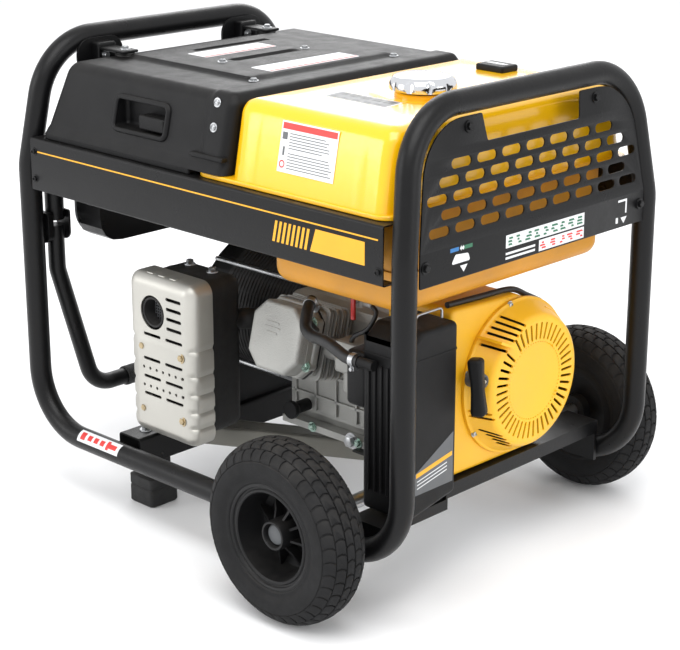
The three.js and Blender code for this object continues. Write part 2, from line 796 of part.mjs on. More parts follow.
function fanShroud() {
  const { x0, x1, sheet } = SHROUD;
  const mouth = rod("x", 88, x1 - 10, x1 + 1, CRANK_AXIS, 28);
  return cut(prism("x", shroudOutline(0), x0, x1, 3), prism("x", shroudOutline(sheet), x0 - 1, x1 - sheet, 3), mouth);
}

function recoilCover() {
  const { x0, x1, base, face, slots } = RECOIL;
  const wall = 3;
  const profile = [
    [base - 8, x0],
    [base, x0],
    [base, x0 + 5],
    [face, x1 - 4],
    [face - 5, x1],
    [0, x1],
    [0, x1 - wall],
    [face - 6, x1 - wall],
    [face - 3, x1 - 6],
  ];
  const dish = turned("x", [...profile, profile[0]], CRANK_AXIS, 30);
  const tools = [];
  for (let i = 0; i < slots; i++) {
    const slot = box(x1 - 8, x1 + 5, -1.8, 1.8, 58, 82);
    tools.push(slot.rotateX((2 * Math.PI * i) / slots).translate(0, ...CRANK_AXIS));
  }
  const boss = rod("x", 11, x0 + 12, EYELET.x, [EYELET.y, EYELET.z], 14);
  return join(cut(dish, ...tools), boss);
}

function starterGrip() {
  const centre = EYELET.clone().addScaledVector(PULL_WAY, GRIP.reach);
  const bar = rod("z", GRIP.radius, -GRIP.half, GRIP.half, [0, 0], 12);
  const neck = box(-13, 0, -6, 6, -10, 6);
  const yaw = Math.atan2(PULL_WAY.y, PULL_WAY.x);
  const made = join(bar, neck.translate(-7, 0, 0)).rotateX(GRIP.tilt).rotateZ(yaw);
  return made.translate(centre.x, centre.y, centre.z + GRIP.rise);
}

function starterRope() {
  const from = EYELET.clone().addScaledVector(PULL_WAY, 7.6);
  const to = EYELET.clone().addScaledVector(PULL_WAY, 10.6);
  return tube([from, to], 2.5, 8);
}

function addStarter() {
  add("recoil_cover", recoilCover(), "gold_plastic");
  const sheave = [
    [13, 322],
    [52, 322],
    [52, 325],
    [46, 327],
    [46, 331],
    [52, 333],
    [52, 336],
    [13, 336],
  ];
  add("starter_pulley", turned("x", sheave, CRANK_AXIS, 24, true), "black_plastic");
  add("starter_grip", starterGrip(), "black_plastic");
  add("starter_rope", starterRope(), "rope");
}

function addEngine() {
  add("crankcase", crankcase(), "cast");
  add("cylinder_block", cylinder(), "cast");
  add("valve_cover", valveCover(), "silver");
  add("fan_shroud", fanShroud(), "gold_plastic");
  const wheel = [
    [CRANK.radius + 0.6, 262],
    [92, 262],
    [92, 282],
    [60, 286],
    [CRANK.radius + 0.6, 286],
  ];
  add("flywheel", turned("x", wheel, CRANK_AXIS, 28, true), "cast");
  add("crankshaft", rod("x", CRANK.radius, -214, 300, CRANK_AXIS), "steel");
}

// ---------------------------------------------------------------- alternator

const ALTERNATOR = { x0: -170, x1: -15.3, radius: 105, bore: 72, rotor: 70, end: -212 };

function addAlternator() {
  const { x0, x1, radius, bore, rotor, end } = ALTERNATOR;
  const stator = cut(
    rod("x", radius, x0, x1, CRANK_AXIS, 28),
    rod("x", bore, x0 - 1, x1 - 10, CRANK_AXIS, 28),
    rod("x", 34, x1 - 12, x1 + 1, CRANK_AXIS, 20),
  );
  add("alternator_stator", stator, "cast");
  add("alternator_rotor", ring("x", rotor, CRANK.radius + 0.6, x0 + 5, x1 - 15, CRANK_AXIS, 24), "copper");
  const bell = cut(
    join(
      rod("x", radius - 3, end, x0 - GAP, CRANK_AXIS, 28),
      box(-204, x0 - GAP, -56, 96, CROSS.z1 + GAP, 186),
    ),
    rod("x", radius - 12, end + 5, x0 + 1, CRANK_AXIS, 28),
    rod("x", CRANK.radius + 1.5, end - 1, end + 10, CRANK_AXIS, 16),
  );
  add("alternator_end_cover", bell, "black_plastic");
}

// ---------------------------------------------------------------- exhaust

function mufflerBody() {
  const { x0, x1, y0, y1, z0, z1 } = MUFFLER;
  const port = vector(CYLINDER.x - CYLINDER.half - GAP, -104, 299);
  const elbow = vector(-66, port.y, port.z);
  const pipe = tube(bentRoute([port, elbow, vector(elbow.x, y1 - 8, port.z)], 16, 30), 12, 10);
  return join(
    softBox(x0, x1, y0, y1, z0, z1, 14, 1),
    pipe,
    rod("y", EXHAUST.radius, GUARD.front + 1, y0 + 4, [EXHAUST.x, EXHAUST.z], 16),
  );
}

function mufflerGuard() {
  const { x0, x1, front, back, z0, z1, sheet } = GUARD;
  const outer = softBox(x0, x1, front, back + 40, z0, z1, 20);
  const inner = softBox(x0 + sheet, x1 - sheet, front + sheet, back + 50, z0 + sheet, z1 - sheet, 18);
  const through = (points) => prism("y", points, front - 1, front + 10);
  const openings = [rod("y", EXHAUST.radius + 3, front - 1, front + 10, [EXHAUST.x, EXHAUST.z], 20)];
  for (let i = 0; i < 4; i++) openings.push(through(slotOutline(-77, 304 + i * 14.4, 32, 5)));
  for (const z of [287, 251, 224, 198]) {
    for (const x of [-124, -78]) openings.push(through(slotOutline(x, z, 40, 5)));
  }
  for (const z of [237, 210]) {
    for (let i = 0; i < 7; i++) openings.push(through(rectangle(-144 + i * 13.6, -140 + i * 13.6, z - 2, z + 2)));
  }
  return cut(outer, inner, box(-400, 100, back, -100, 0, 500), ...openings);
}

// ---------------------------------------------------------------- air intake

function airCase() {
  const { x0, x1, y0, y1, z0, z1, rise } = AIR_CASE;
  const form = (inset) => {
    const made = softBox(x0 + inset, x1 - inset, y0 + inset, y1 - inset, z0 + inset, z1 - inset, 8, 1);
    return reshape(made, (p) => {
      if (p.z < z0 + 20) p.z += (rise * (p.y - y0)) / (y1 - y0);
    });
  };
  const { slopeY, slopeZ } = AIR_CASE;
  const slope = (inset) => {
    const lowest = z1 - slopeZ - inset;
    const triangle = [
      [y0 - 5, lowest - (5 * slopeZ) / slopeY],
      [y0 - 5, z1 + 9],
      [y0 + slopeY + 9, z1 + 9],
      [y0 + slopeY + 9, lowest + ((slopeY + 9) * slopeZ) / slopeY],
    ];
    return prism("x", triangle, x0 - 5, x1 + 5, 1);
  };
  const duct = softBox(DUCT.x0, x0 + 6, y0, DUCT.y1, DUCT.z0, DUCT.z1, 8, 1);
  const stub = rod("x", BREATHER.radius - 1, BREATHER.end + GAP, BREATHER.end + 26, [BREATHER.y, BREATHER.z], 12);
  const lug = box(BREATHER.end + 12, BREATHER.end + 22, BREATHER.y, y0 + 1, BREATHER.z - 5, BREATHER.z + 5);
  const mouth = rod("x", 13, x0 - 1, x0 + 8, [-124, 300], 16);
  const outside = cut(form(0), slope(0));
  const inside = cut(form(3), slope(3));
  return cut(join(outside, duct, stub, lug), inside, mouth);
}

// The wire clip that holds the case's lid down.
function bail() {
  const { z1 } = AIR_CASE;
  const at = (y, z) => vector(322, y, z1 + z);
  return tube(bentRoute([at(-174, 2.3), at(-172, 11), at(-148, 17), at(-126, 11), at(-124, 2.3)], 6, 40), 1.8, 8);
}

function carburettor() {
  const x0 = CYLINDER.x + CYLINDER.half + GAP;
  const x1 = AIR_CASE.x0 - GAP;
  return join(
    rod("x", 15, x0, x1, [-124, 300], 16),
    softBox(x0 + 26, x0 + 74, -146, -102, 278, 324, 5, 1),
    rod("z", 19, 252, 282, [x0 + 50, -124], 16),
  );
}

const CHOKE = { x: 212, y: -124, z: 316 };

function chokeLever() {
  const { x, y, z } = CHOKE;
  return join(rod("z", 5, z, z + 6, [x, y], 10), box(x - 4, x + 4, y - 34, y, z + 2, z + 5));
}

// From the valve cover's shoulder round to the stub on the air case's near face.
function breatherHose() {
  const through = [
    vector(112, -150, 372),
    vector(126, -172, 366),
    vector(140, -190, 350),
    vector(162, -200, 345),
    vector(196, -207, 346),
    vector(238, BREATHER.y, BREATHER.z + 0.5),
    vector(BREATHER.end - 0.5, BREATHER.y, BREATHER.z),
  ];
  const STEPS = 12;
  const line = new THREE.CatmullRomCurve3(through);
  return tube(line.getPoints(STEPS), BREATHER.radius, 8);
}

function addIntakeAndExhaust() {
  add("muffler_body", mufflerBody(), "black_paint");
  add("muffler_guard", mufflerGuard(), "silver");
  add("air_cleaner_case", airCase(), "black_plastic");
  add("air_cleaner_bail", bail(), "steel");
  add("carburettor", carburettor(), "cast");
  add("choke_lever", chokeLever(), "grey_plastic");
  add("breather_hose", breatherHose(), "rubber");
}

// ---------------------------------------------------------------- assembly

addFrame();
addWheels();
for (const [name, side] of SIDES) add(`side_panel_${name}`, sidePanel(side), "black_paint");
add("slotted_end_plate", slottedPlate(), "black_paint");
addTank();
addCover();
addControls();
addHandle();
addEngine();
addStarter();
addAlternator();
addIntakeAndExhaust();

export default machine;
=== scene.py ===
# %% [markdown]
# # An open-frame petrol welding generator
#
# The machine is a cradle of round steel tube with an engine, an alternator and a muffler below, and a
# fuel tank and an inverter under a cover above. The solid model gives every size and every moving body.
# Here each visible piece is built again with finer shapes and finishes, in metres, in the same frame:
# +X points to the recoil starter, -Y to the muffler side, +Z up.

# %% Load the frame
import bpy
import bmesh
import math
import random
from mathutils import Matrix, Vector


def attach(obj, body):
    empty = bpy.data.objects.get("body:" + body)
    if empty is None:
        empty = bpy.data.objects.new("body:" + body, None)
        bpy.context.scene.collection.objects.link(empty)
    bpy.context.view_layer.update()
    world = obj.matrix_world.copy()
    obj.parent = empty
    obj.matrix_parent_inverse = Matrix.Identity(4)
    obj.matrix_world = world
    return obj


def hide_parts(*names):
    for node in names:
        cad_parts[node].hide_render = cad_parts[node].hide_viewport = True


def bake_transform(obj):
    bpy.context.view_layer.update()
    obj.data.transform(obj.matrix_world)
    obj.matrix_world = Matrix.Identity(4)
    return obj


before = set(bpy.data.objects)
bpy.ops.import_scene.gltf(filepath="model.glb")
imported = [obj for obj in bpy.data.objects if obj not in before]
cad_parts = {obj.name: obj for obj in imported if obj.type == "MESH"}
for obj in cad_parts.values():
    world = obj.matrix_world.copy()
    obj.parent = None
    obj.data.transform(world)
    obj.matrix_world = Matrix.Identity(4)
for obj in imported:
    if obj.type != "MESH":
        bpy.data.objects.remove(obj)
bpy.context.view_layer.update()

# %% [markdown]
# ## Camera
#
# The camera stands off the near right corner, a little above the top of the machine, with a long lens.
# Its pose is written as three direction vectors (right, up, back), because a matrix built from them is
# exact and needs no guesswork with angles. A small shift puts the machine in the middle of the picture.

# %% Camera
CAMERA_PLACE = Vector((1.8055, -1.8308, 1.1228))
CAMERA_AZIMUTH = math.radians(41.469)
CAMERA_RISE = math.radians(18.145)
CAMERA_ROLL = math.radians(0.851)


def aim(azimuth, rise, roll):
    """The camera's turn: back points from the machine to the camera."""
    back = Vector((math.sin(azimuth) * math.cos(rise), -math.cos(azimuth) * math.cos(rise), math.sin(rise)))
    right = Vector((math.cos(azimuth), math.sin(azimuth), 0))
    up = back.cross(right)
    rolled_right = math.cos(roll) * right + math.sin(roll) * up
    rolled_up = math.cos(roll) * up - math.sin(roll) * right
    return Matrix((rolled_right, rolled_up, back)).transposed().to_4x4()


lens = bpy.data.cameras.new("camera")
lens.sensor_width = 36
lens.lens = 97.98
lens.shift_x = -0.1283
lens.shift_y = -0.0034
lens.clip_end = 50
camera = bpy.data.objects.new("camera", lens)
camera.matrix_world = Matrix.Translation(CAMERA_PLACE) @ aim(CAMERA_AZIMUTH, CAMERA_RISE, CAMERA_ROLL)
bpy.context.scene.collection.objects.link(camera)
bpy.context.scene.camera = camera
print("camera at", tuple(CAMERA_PLACE))

# %% [markdown]
# ## Floor and light
#
# A white sweep and big soft lamps give the even light of a product picture. The key lamp hangs over the
# near right side, so the tank, the cover and the tubes get long soft highlights, and a weak fill keeps
# the engine bay readable. Dark glossy paint mostly shows what it mirrors, so the lamps are wide panels.

# %% Floor and light
def lamp(name, place, target, size, power, tint=(1, 1, 1)):
    """A square soft panel at place, turned to face target."""
    light = bpy.data.lights.new(name, "AREA")
    light.size = size
    light.energy = power
    light.color = tint
    holder = bpy.data.objects.new(name, light)
    holder.location = place
    holder.rotation_euler = (Vector(target) - Vector(place)).to_track_quat("-Z", "Y").to_euler()
    bpy.context.scene.collection.objects.link(holder)
    return holder


lamp("key_panel", (1.0, -1.2, 3.0), (0, 0, 0.35), 2.2, 60)
lamp("near_panel", (-2.0, -3.0, 1.5), (-0.1, 0, 0.35), 1.5, 30)
lamp("end_panel", (3.4, 0.6, 1.2), (0.1, 0, 0.35), 1.2, 16)
lamp("back_panel", (-2.4, 2.6, 2.2), (0, 0, 0.4), 1.8, 30)

FLOOR_SIZE = 30
floor_mesh = bpy.data.meshes.new("floor")
half = FLOOR_SIZE / 2
floor_mesh.from_pydata([(-half, -half, 0), (half, -half, 0), (half, half, 0), (-half, half, 0)], [], [(0, 1, 2, 3)])
floor = bpy.data.objects.new("floor", floor_mesh)
bpy.context.scene.collection.objects.link(floor)
paper = bpy.data.materials.new("floor_paper")
paper.use_nodes = True
paper.node_tree.nodes["Principled BSDF"].inputs["Base Color"].default_value = (0.95, 0.95, 0.95, 1)
paper.node_tree.nodes["Principled BSDF"].inputs["Roughness"].default_value = 0.9
floor_mesh.materials.append(paper)

world = bpy.data.worlds.new("studio")
world.use_nodes = True
world.node_tree.nodes["Background"].inputs["Color"].default_value = (0.98, 0.985, 1.0, 1)
world.node_tree.nodes["Background"].inputs["Strength"].default_value = 1.05
bpy.context.scene.world = world
bpy.context.scene.view_settings.view_transform = "Standard"

# %% [markdown]
# ## Finishes
#
# Real finishes are never one flat colour. Each one here has three layers: a slow blotch that shifts the
# colour, a change of gloss, and a fine bump for the grain of powder coat, casting or moulded plastic.
# Dust settles where a face looks up. One function builds them all, so that every finish is a short call
# with its own numbers.

# %% Finish helper
def add_node(tree, kind, **settings):
    """A shader node with its properties or input values set."""
    made = tree.nodes.new(kind)
    for key, value in settings.items():
        if key in made.inputs:
            made.inputs[key].default_value = value
        else:
            setattr(made, key, value)
    return made


def noise(tree, place, scale, detail=4.0, roughness=0.55):
    """A noise texture in the machine's own space; scale is in waves per metre."""
    made = add_node(tree, "ShaderNodeTexNoise", Scale=scale, Detail=detail, Roughness=roughness)
    tree.links.new(place, made.inputs["Vector"])
    return made.outputs["Fac"]


def spread(tree, value, low, high, start=0.3, end=0.7):
    """Maps a value between start and end onto low and high."""
    made = add_node(tree, "ShaderNodeMapRange")
    made.inputs["From Min"].default_value = start
    made.inputs["From Max"].default_value = end
    made.inputs["To Min"].default_value = low
    made.inputs["To Max"].default_value = high
    tree.links.new(value, made.inputs["Value"])
    return made.outputs["Result"]


def blend_colour(tree, factor, first, second):
    """Mixes two colours; each may be a colour or another node's output."""
    made = add_node(tree, "ShaderNodeMix", data_type="RGBA")
    tree.links.new(factor, made.inputs["Factor"])
    for socket, colour in ((made.inputs[6], first), (made.inputs[7], second)):
        if isinstance(colour, tuple):
            socket.default_value = (*colour, 1)
        else:
            tree.links.new(colour, socket)
    return made.outputs[2]


def times(tree, first, second):
    """The product of two values."""
    made = add_node(tree, "ShaderNodeMath", operation="MULTIPLY")
    for socket, value in ((made.inputs[0], first), (made.inputs[1], second)):
        if isinstance(value, (int, float)):
            socket.default_value = value
        else:
            tree.links.new(value, socket)
    return made.outputs["Value"]


def shade(colour, factor):
    """A lighter or darker tone of a colour."""
    return tuple(min(1.0, channel * factor) for channel in colour)


def finish(name, colour, gloss, metallic=0.0, blotch=(9, 0.12), grain=(900, 0.05), ripple=None,
           dust=0.0, coat=0.0, sheen=0.0, specular=0.5):
    """A layered finish. gloss is (lowest, highest) roughness; grain and ripple are (waves per metre, height)."""
    material = bpy.data.materials.new(name)
    material.use_nodes = True
    tree = material.node_tree
    shader = tree.nodes["Principled BSDF"]
    shader.inputs["Metallic"].default_value = metallic
    shader.inputs["Coat Weight"].default_value = coat
    shader.inputs["Coat Roughness"].default_value = 0.12
    shader.inputs["Sheen Weight"].default_value = sheen
    shader.inputs["Specular IOR Level"].default_value = specular
    place = add_node(tree, "ShaderNodeTexCoord").outputs["Object"]
    slow = noise(tree, place, blotch[0], 5.0)
    amount = blotch[1]
    tone = blend_colour(tree, spread(tree, slow, 0, 1), shade(colour, 1 - amount), shade(colour, 1 + amount))
    rough = spread(tree, noise(tree, place, blotch[0] * 4, 6.0, 0.65), gloss[0], gloss[1])
    geometry = add_node(tree, "ShaderNodeNewGeometry")
    if dust:
        up = add_node(tree, "ShaderNodeSeparateXYZ")
        tree.links.new(geometry.outputs["Normal"], up.inputs["Vector"])
        settled = spread(tree, up.outputs["Z"], 0, dust, 0.2, 1.0)
        film = times(tree, settled, spread(tree, noise(tree, place, 24, 7.0, 0.7), 0, 1, 0.35, 0.75))
        tone = blend_colour(tree, film, tone, (0.36, 0.33, 0.29))
    tree.links.new(tone, shader.inputs["Base Color"])
    tree.links.new(rough, shader.inputs["Roughness"])
    bump = add_node(tree, "ShaderNodeBump", Distance=0.001, Strength=grain[1] * 10)
    tree.links.new(noise(tree, place, grain[0], 3.0), bump.inputs["Height"])
    if ripple:
        wave = add_node(tree, "ShaderNodeBump", Distance=0.001, Strength=ripple[1] * 10)
        tree.links.new(noise(tree, place, ripple[0], 2.0), wave.inputs["Height"])
        tree.links.new(wave.outputs["Normal"], bump.inputs["Normal"])
    tree.links.new(bump.outputs["Normal"], shader.inputs["Normal"])
    return material


# %% Finishes of the machine

powder_black = finish("powder_black", (0.004, 0.004, 0.0044), (0.26, 0.38), blotch=(7, 0.15), grain=(1400, 0.022),
                      ripple=(260, 0.02), dust=0.03, specular=0.24)
moulded_black = finish("moulded_black", (0.005, 0.005, 0.0054), (0.36, 0.5), blotch=(8, 0.15), grain=(2200, 0.03),
                       dust=0.04, specular=0.2)
tank_yellow = finish("tank_yellow", (0.94, 0.50, 0.004), (0.16, 0.24), blotch=(5, 0.03), grain=(500, 0.006),
                     ripple=(60, 0.012), coat=0.5, dust=0.03)
shroud_yellow = finish("shroud_yellow", (0.86, 0.46, 0.012), (0.3, 0.42), blotch=(9, 0.05), grain=(1500, 0.02),
                       ripple=(180, 0.012), dust=0.05)
cast_alloy = finish("cast_alloy", (0.42, 0.42, 0.40), (0.42, 0.6), metallic=0.75, blotch=(14, 0.14),
                    grain=(1100, 0.09), ripple=(350, 0.05), dust=0.1)
guard_silver = finish("guard_silver", (0.50, 0.49, 0.45), (0.34, 0.46), metallic=0.7, blotch=(10, 0.08),
                      grain=(1600, 0.02), ripple=(120, 0.012), dust=0.06)
zinc_steel = finish("zinc_steel", (0.46, 0.47, 0.48), (0.24, 0.4), metallic=0.95, blotch=(30, 0.15),
                    grain=(900, 0.02), dust=0.03)
green_zinc = finish("green_zinc", (0.34, 0.46, 0.40), (0.22, 0.34), metallic=0.9, blotch=(80, 0.2), grain=(900, 0.02))
brass_zinc = finish("brass_zinc", (0.45, 0.36, 0.22), (0.24, 0.36), metallic=0.9, blotch=(80, 0.2), grain=(900, 0.02))
polished_chrome = finish("polished_chrome", (0.72, 0.73, 0.75), (0.07, 0.16), metallic=1.0, blotch=(12, 0.05),
                         grain=(700, 0.004))
tyre_rubber = finish("tyre_rubber", (0.011, 0.011, 0.0115), (0.62, 0.82), blotch=(20, 0.25), grain=(1500, 0.06),
                     dust=0.12, specular=0.22)
foot_rubber = finish("foot_rubber", (0.008, 0.008, 0.008), (0.6, 0.8), blotch=(20, 0.2), grain=(1800, 0.05), dust=0.1)
hose_rubber = finish("hose_rubber", (0.008, 0.008, 0.0085), (0.38, 0.52), blotch=(25, 0.2), grain=(1800, 0.02))
grip_foam = finish("grip_foam", (0.012, 0.012, 0.012), (0.85, 0.97), blotch=(40, 0.25), grain=(2600, 0.12), sheen=0.2)
rim_plastic = finish("rim_plastic", (0.007, 0.007, 0.0075), (0.33, 0.46), blotch=(12, 0.15), grain=(1900, 0.025), dust=0.06,
                     specular=0.25)
grey_moulded = finish("grey_moulded", (0.085, 0.09, 0.095), (0.45, 0.6), blotch=(9, 0.1), grain=(2200, 0.03), dust=0.06)
red_moulded = finish("red_moulded", (0.42, 0.014, 0.012), (0.28, 0.4), blotch=(20, 0.1), grain=(1500, 0.01), coat=0.2)
copper_wound = finish("copper_wound", (0.40, 0.13, 0.03), (0.3, 0.5), metallic=0.7, blotch=(120, 0.3), grain=(900, 0.05))
muffler_black = finish("muffler_black", (0.007, 0.0065, 0.0065), (0.55, 0.72), blotch=(15, 0.25), grain=(900, 0.06),
                       dust=0.08)
grey_paint = finish("grey_paint", (0.20, 0.195, 0.17), (0.4, 0.55), metallic=0.3, blotch=(11, 0.12), grain=(1300, 0.04),
                    dust=0.15)
cord_nylon = finish("cord_nylon", (0.66, 0.62, 0.52), (0.75, 0.9), blotch=(300, 0.25), grain=(2500, 0.1))
film_yellow = finish("film_yellow", (0.82, 0.40, 0.012), (0.3, 0.4), blotch=(20, 0.04), grain=(900, 0.008))
film_white = finish("film_white", (0.74, 0.75, 0.76), (0.3, 0.42), blotch=(30, 0.05), grain=(900, 0.008))
film_red = finish("film_red", (0.62, 0.03, 0.025), (0.3, 0.42), blotch=(30, 0.06), grain=(900, 0.008))
film_green = finish("film_green", (0.02, 0.14, 0.07), (0.3, 0.42), blotch=(30, 0.06), grain=(900, 0.008))
film_blue = finish("film_blue", (0.02, 0.16, 0.42), (0.3, 0.42), blotch=(30, 0.06), grain=(900, 0.008))
film_black = finish("film_black", (0.012, 0.012, 0.013), (0.3, 0.45), blotch=(30, 0.08), grain=(900, 0.01))
clear_dark = finish("clear_dark", (0.02, 0.02, 0.022), (0.04, 0.08), blotch=(30, 0.05), grain=(900, 0.002), coat=0.6)
# A darker copy of the tank's yellow for the lower shell and its seam: painted shade for the shadow between the panels,
# with a duller gloss of its own.
basin_painted_shade_yellow = finish("basin_painted_shade_yellow", (0.62, 0.27, 0.012), (0.38, 0.55), blotch=(12, 0.12), grain=(700, 0.02),
                      ripple=(90, 0.02), dust=0.08)
film_grey = finish("film_grey", (0.10, 0.105, 0.11), (0.3, 0.45), blotch=(30, 0.08), grain=(900, 0.01))
print(len(bpy.data.materials), "finishes")

# %% [markdown]
# ## Making pieces
#
# Every piece is a mesh built from a few numbers. A swept tube, a turned shape, a flat sheet with holes and
# a box with soft edges cover almost all of a sheet-metal machine, so each of them is a small function that
# gives back a bmesh. One more function turns a bmesh into an object: it shades it, hangs it on the body that
# carries it, and hides the solids it stands for.

# %% Piece helper
MM = 0.001
CHASSIS = "chassis"


def mm(*values):
    """A point given in millimetres, in metres."""
    return Vector(values) * MM


def piece(name, mesh, material, body=CHASSIS, stands_for=(), bevel=0.0, crease=35.0):
    """A finished piece from a bmesh: bevelled, smooth where it is round, riding on its body.

    A body of None leaves the piece free of every body."""
    bmesh.ops.remove_doubles(mesh, verts=mesh.verts, dist=1e-6)
    bmesh.ops.recalc_face_normals(mesh, faces=mesh.faces)
    limit = math.radians(crease)
    for face in mesh.faces:
        face.smooth = True
    for edge in mesh.edges:
        edge.smooth = len(edge.link_faces) == 2 and edge.calc_face_angle(0) < limit
    data = bpy.data.meshes.new(name)
    mesh.to_mesh(data)
    mesh.free()
    made = bpy.data.objects.new(name, data)
    bpy.context.scene.collection.objects.link(made)
    materials = material if isinstance(material, (list, tuple)) else [material]
    for one in materials:
        data.materials.append(one)
    if bevel:
        edges = made.modifiers.new("soft_edges", "BEVEL")
        edges.width = bevel * MM
        edges.segments = 2
        edges.limit_method = "ANGLE"
        edges.angle_limit = math.radians(40)
        edges.harden_normals = True
    if body:
        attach(made, body)
    if stands_for:
        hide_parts(*stands_for)
    return made


def merge(*meshes):
    """Several bmeshes in one."""
    whole = meshes[0]
    for other in meshes[1:]:
        data = bpy.data.meshes.new("part")
        other.to_mesh(data)
        other.free()
        whole.from_mesh(data)
        bpy.data.meshes.remove(data)
    return whole


def move(mesh, matrix):
    """Places a bmesh with a matrix."""
    bmesh.ops.transform(mesh, matrix=matrix, verts=mesh.verts)
    return mesh


def box(low, high):
    """A box between two corners, given in millimetres."""
    mesh = bmesh.new()
    bmesh.ops.create_cube(mesh, size=1)
    low, high = Vector(low) * MM, Vector(high) * MM
    size = high - low
    scale = Matrix.Diagonal((size.x, size.y, size.z, 1))
    return move(mesh, Matrix.Translation((low + high) / 2) @ scale)


# The axis along which a turned or flat piece is built, as the images of its own x, y and z.
ALONG = {
    "x": Matrix(((0, 0, 1, 0), (1, 0, 0, 0), (0, 1, 0, 0), (0, 0, 0, 1))),
    "y": Matrix(((1, 0, 0, 0), (0, 0, -1, 0), (0, 1, 0, 0), (0, 0, 0, 1))),
    "z": Matrix.Identity(4),
}


def turned(profile, axis="z", centre=(0, 0, 0), sides=48, close=False):
    """A shape turned about an axis. The profile is [radius, height] in millimetres."""
    mesh = bmesh.new()
    rings = []
    for radius, height in profile:
        if radius < 1e-6:
            rings.append([mesh.verts.new((0, 0, height * MM))])
            continue
        ring = []
        for i in range(sides):
            angle = 2 * math.pi * i / sides
            ring.append(mesh.verts.new((radius * MM * math.cos(angle), radius * MM * math.sin(angle), height * MM)))
        rings.append(ring)
    pairs = list(zip(rings, rings[1:]))
    if close:
        pairs.append((rings[-1], rings[0]))
    for lower, upper in pairs:
        for i in range(sides):
            j = (i + 1) % sides
            corners = [lower[i % len(lower)], lower[j % len(lower)], upper[j % len(upper)], upper[i % len(upper)]]
            corners = list(dict.fromkeys(corners))
            if len(corners) > 2:
                mesh.faces.new(corners)
    return move(mesh, Matrix.Translation(Vector(centre) * MM) @ ALONG[axis])


def bent_route(corners, bend, step=6.0):
    """Points in millimetres along straight legs whose corners are bent to a radius."""
    corners = [Vector(c) for c in corners]
    route = [corners[0]]
    for before, here, after in zip(corners, corners[1:], corners[2:]):
        back = (before - here).normalized()
        ahead = (after - here).normalized()
        turn = math.pi - back.angle(ahead)
        reach = bend * math.tan(turn / 2)
        middle = here + (back + ahead).normalized() * bend / math.cos(turn / 2)
        start = here + back * reach - middle
        end = here + ahead * reach - middle
        steps = max(2, round(math.degrees(turn) / step))
        for k in range(steps + 1):
            first = math.sin((1 - k / steps) * turn) / math.sin(turn)
            second = math.sin(k / steps * turn) / math.sin(turn)
            route.append(middle + start * first + end * second)
    route.append(corners[-1])
    return route


def smooth_route(points, steps=8):
    """A flowing curve through points, for hoses and wires."""
    points = [Vector(p) for p in points]
    ends = [2 * points[0] - points[1]] + points + [2 * points[-1] - points[-2]]
    route = []
    for a, b, c, d in zip(ends, ends[1:], ends[2:], ends[3:]):
        for k in range(steps):
            t = k / steps
            route.append(0.5 * (2 * b + (c - a) * t + (2 * a - 5 * b + 4 * c - d) * t * t
                                + (3 * b - a - 3 * c + d) * t ** 3))
    route.append(points[-1])
    return route


def swept(route, section, caps=True):
    """A section swept along a route without twisting. Both are in millimetres."""
    mesh = bmesh.new()
    rings = []
    way = (route[1] - route[0]).normalized()
    side = way.orthogonal().normalized()
    for i, point in enumerate(route):
        before = (point - route[i - 1]).normalized() if i else way
        after = (route[i + 1] - point).normalized() if i + 1 < len(route) else before
        ahead = (before + after).normalized()
        side = (side - ahead * side.dot(ahead)).normalized()
        other = ahead.cross(side)
        rings.append([mesh.verts.new((point + side * u + other * v) * MM) for u, v in section])
    count = len(section)
    for lower, upper in zip(rings, rings[1:]):
        for i in range(count):
            mesh.faces.new((lower[i], lower[(i + 1) % count], upper[(i + 1) % count], upper[i]))
    if caps:
        mesh.faces.new(rings[0][::-1])
        mesh.faces.new(rings[-1])
    return mesh


def circle(radius, sides=24):
    """A round section."""
    return [(radius * math.cos(2 * math.pi * i / sides), radius * math.sin(2 * math.pi * i / sides))
            for i in range(sides)]


def rounded(points, steps=5):
    """An outline from (u, v, corner radius) points, each corner an arc."""
    result = []
    count = len(points)
    for i in range(count):
        here = Vector(points[i][:2])
        radius = points[i][2] if len(points[i]) > 2 else 0
        if not radius:
            result.append(here)
            continue
        back = (Vector(points[i - 1][:2]) - here).normalized()
        ahead = (Vector(points[(i + 1) % count][:2]) - here).normalized()
        turn = math.pi - back.angle(ahead)
        reach = radius * math.tan(turn / 2)
        middle = here + (back + ahead).normalized() * radius / math.cos(turn / 2)
        start, end = here + back * reach - middle, here + ahead * reach - middle
        for k in range(steps + 1):
            first = math.sin((1 - k / steps) * turn) / math.sin(turn)
            second = math.sin(k / steps * turn) / math.sin(turn)
            result.append(middle + start * first + end * second)
    return result


def rectangle(u0, u1, v0, v1, radius=0.0):
    """A rectangle's outline, with round corners where a radius is given."""
    return [(u0, v0, radius), (u1, v0, radius), (u1, v1, radius), (u0, v1, radius)]


def slot_outline(u, v, length, width, steps=6):
    """A slot with half-round ends, lying along u."""
    half = (length - width) / 2
    points = []
    for centre, start in ((u + half, -90), (u - half, 90)):
        for k in range(steps + 1):
            angle = math.radians(start + 180 * k / steps)
            points.append(Vector((centre + width / 2 * math.cos(angle), v + width / 2 * math.sin(angle))))
    return points


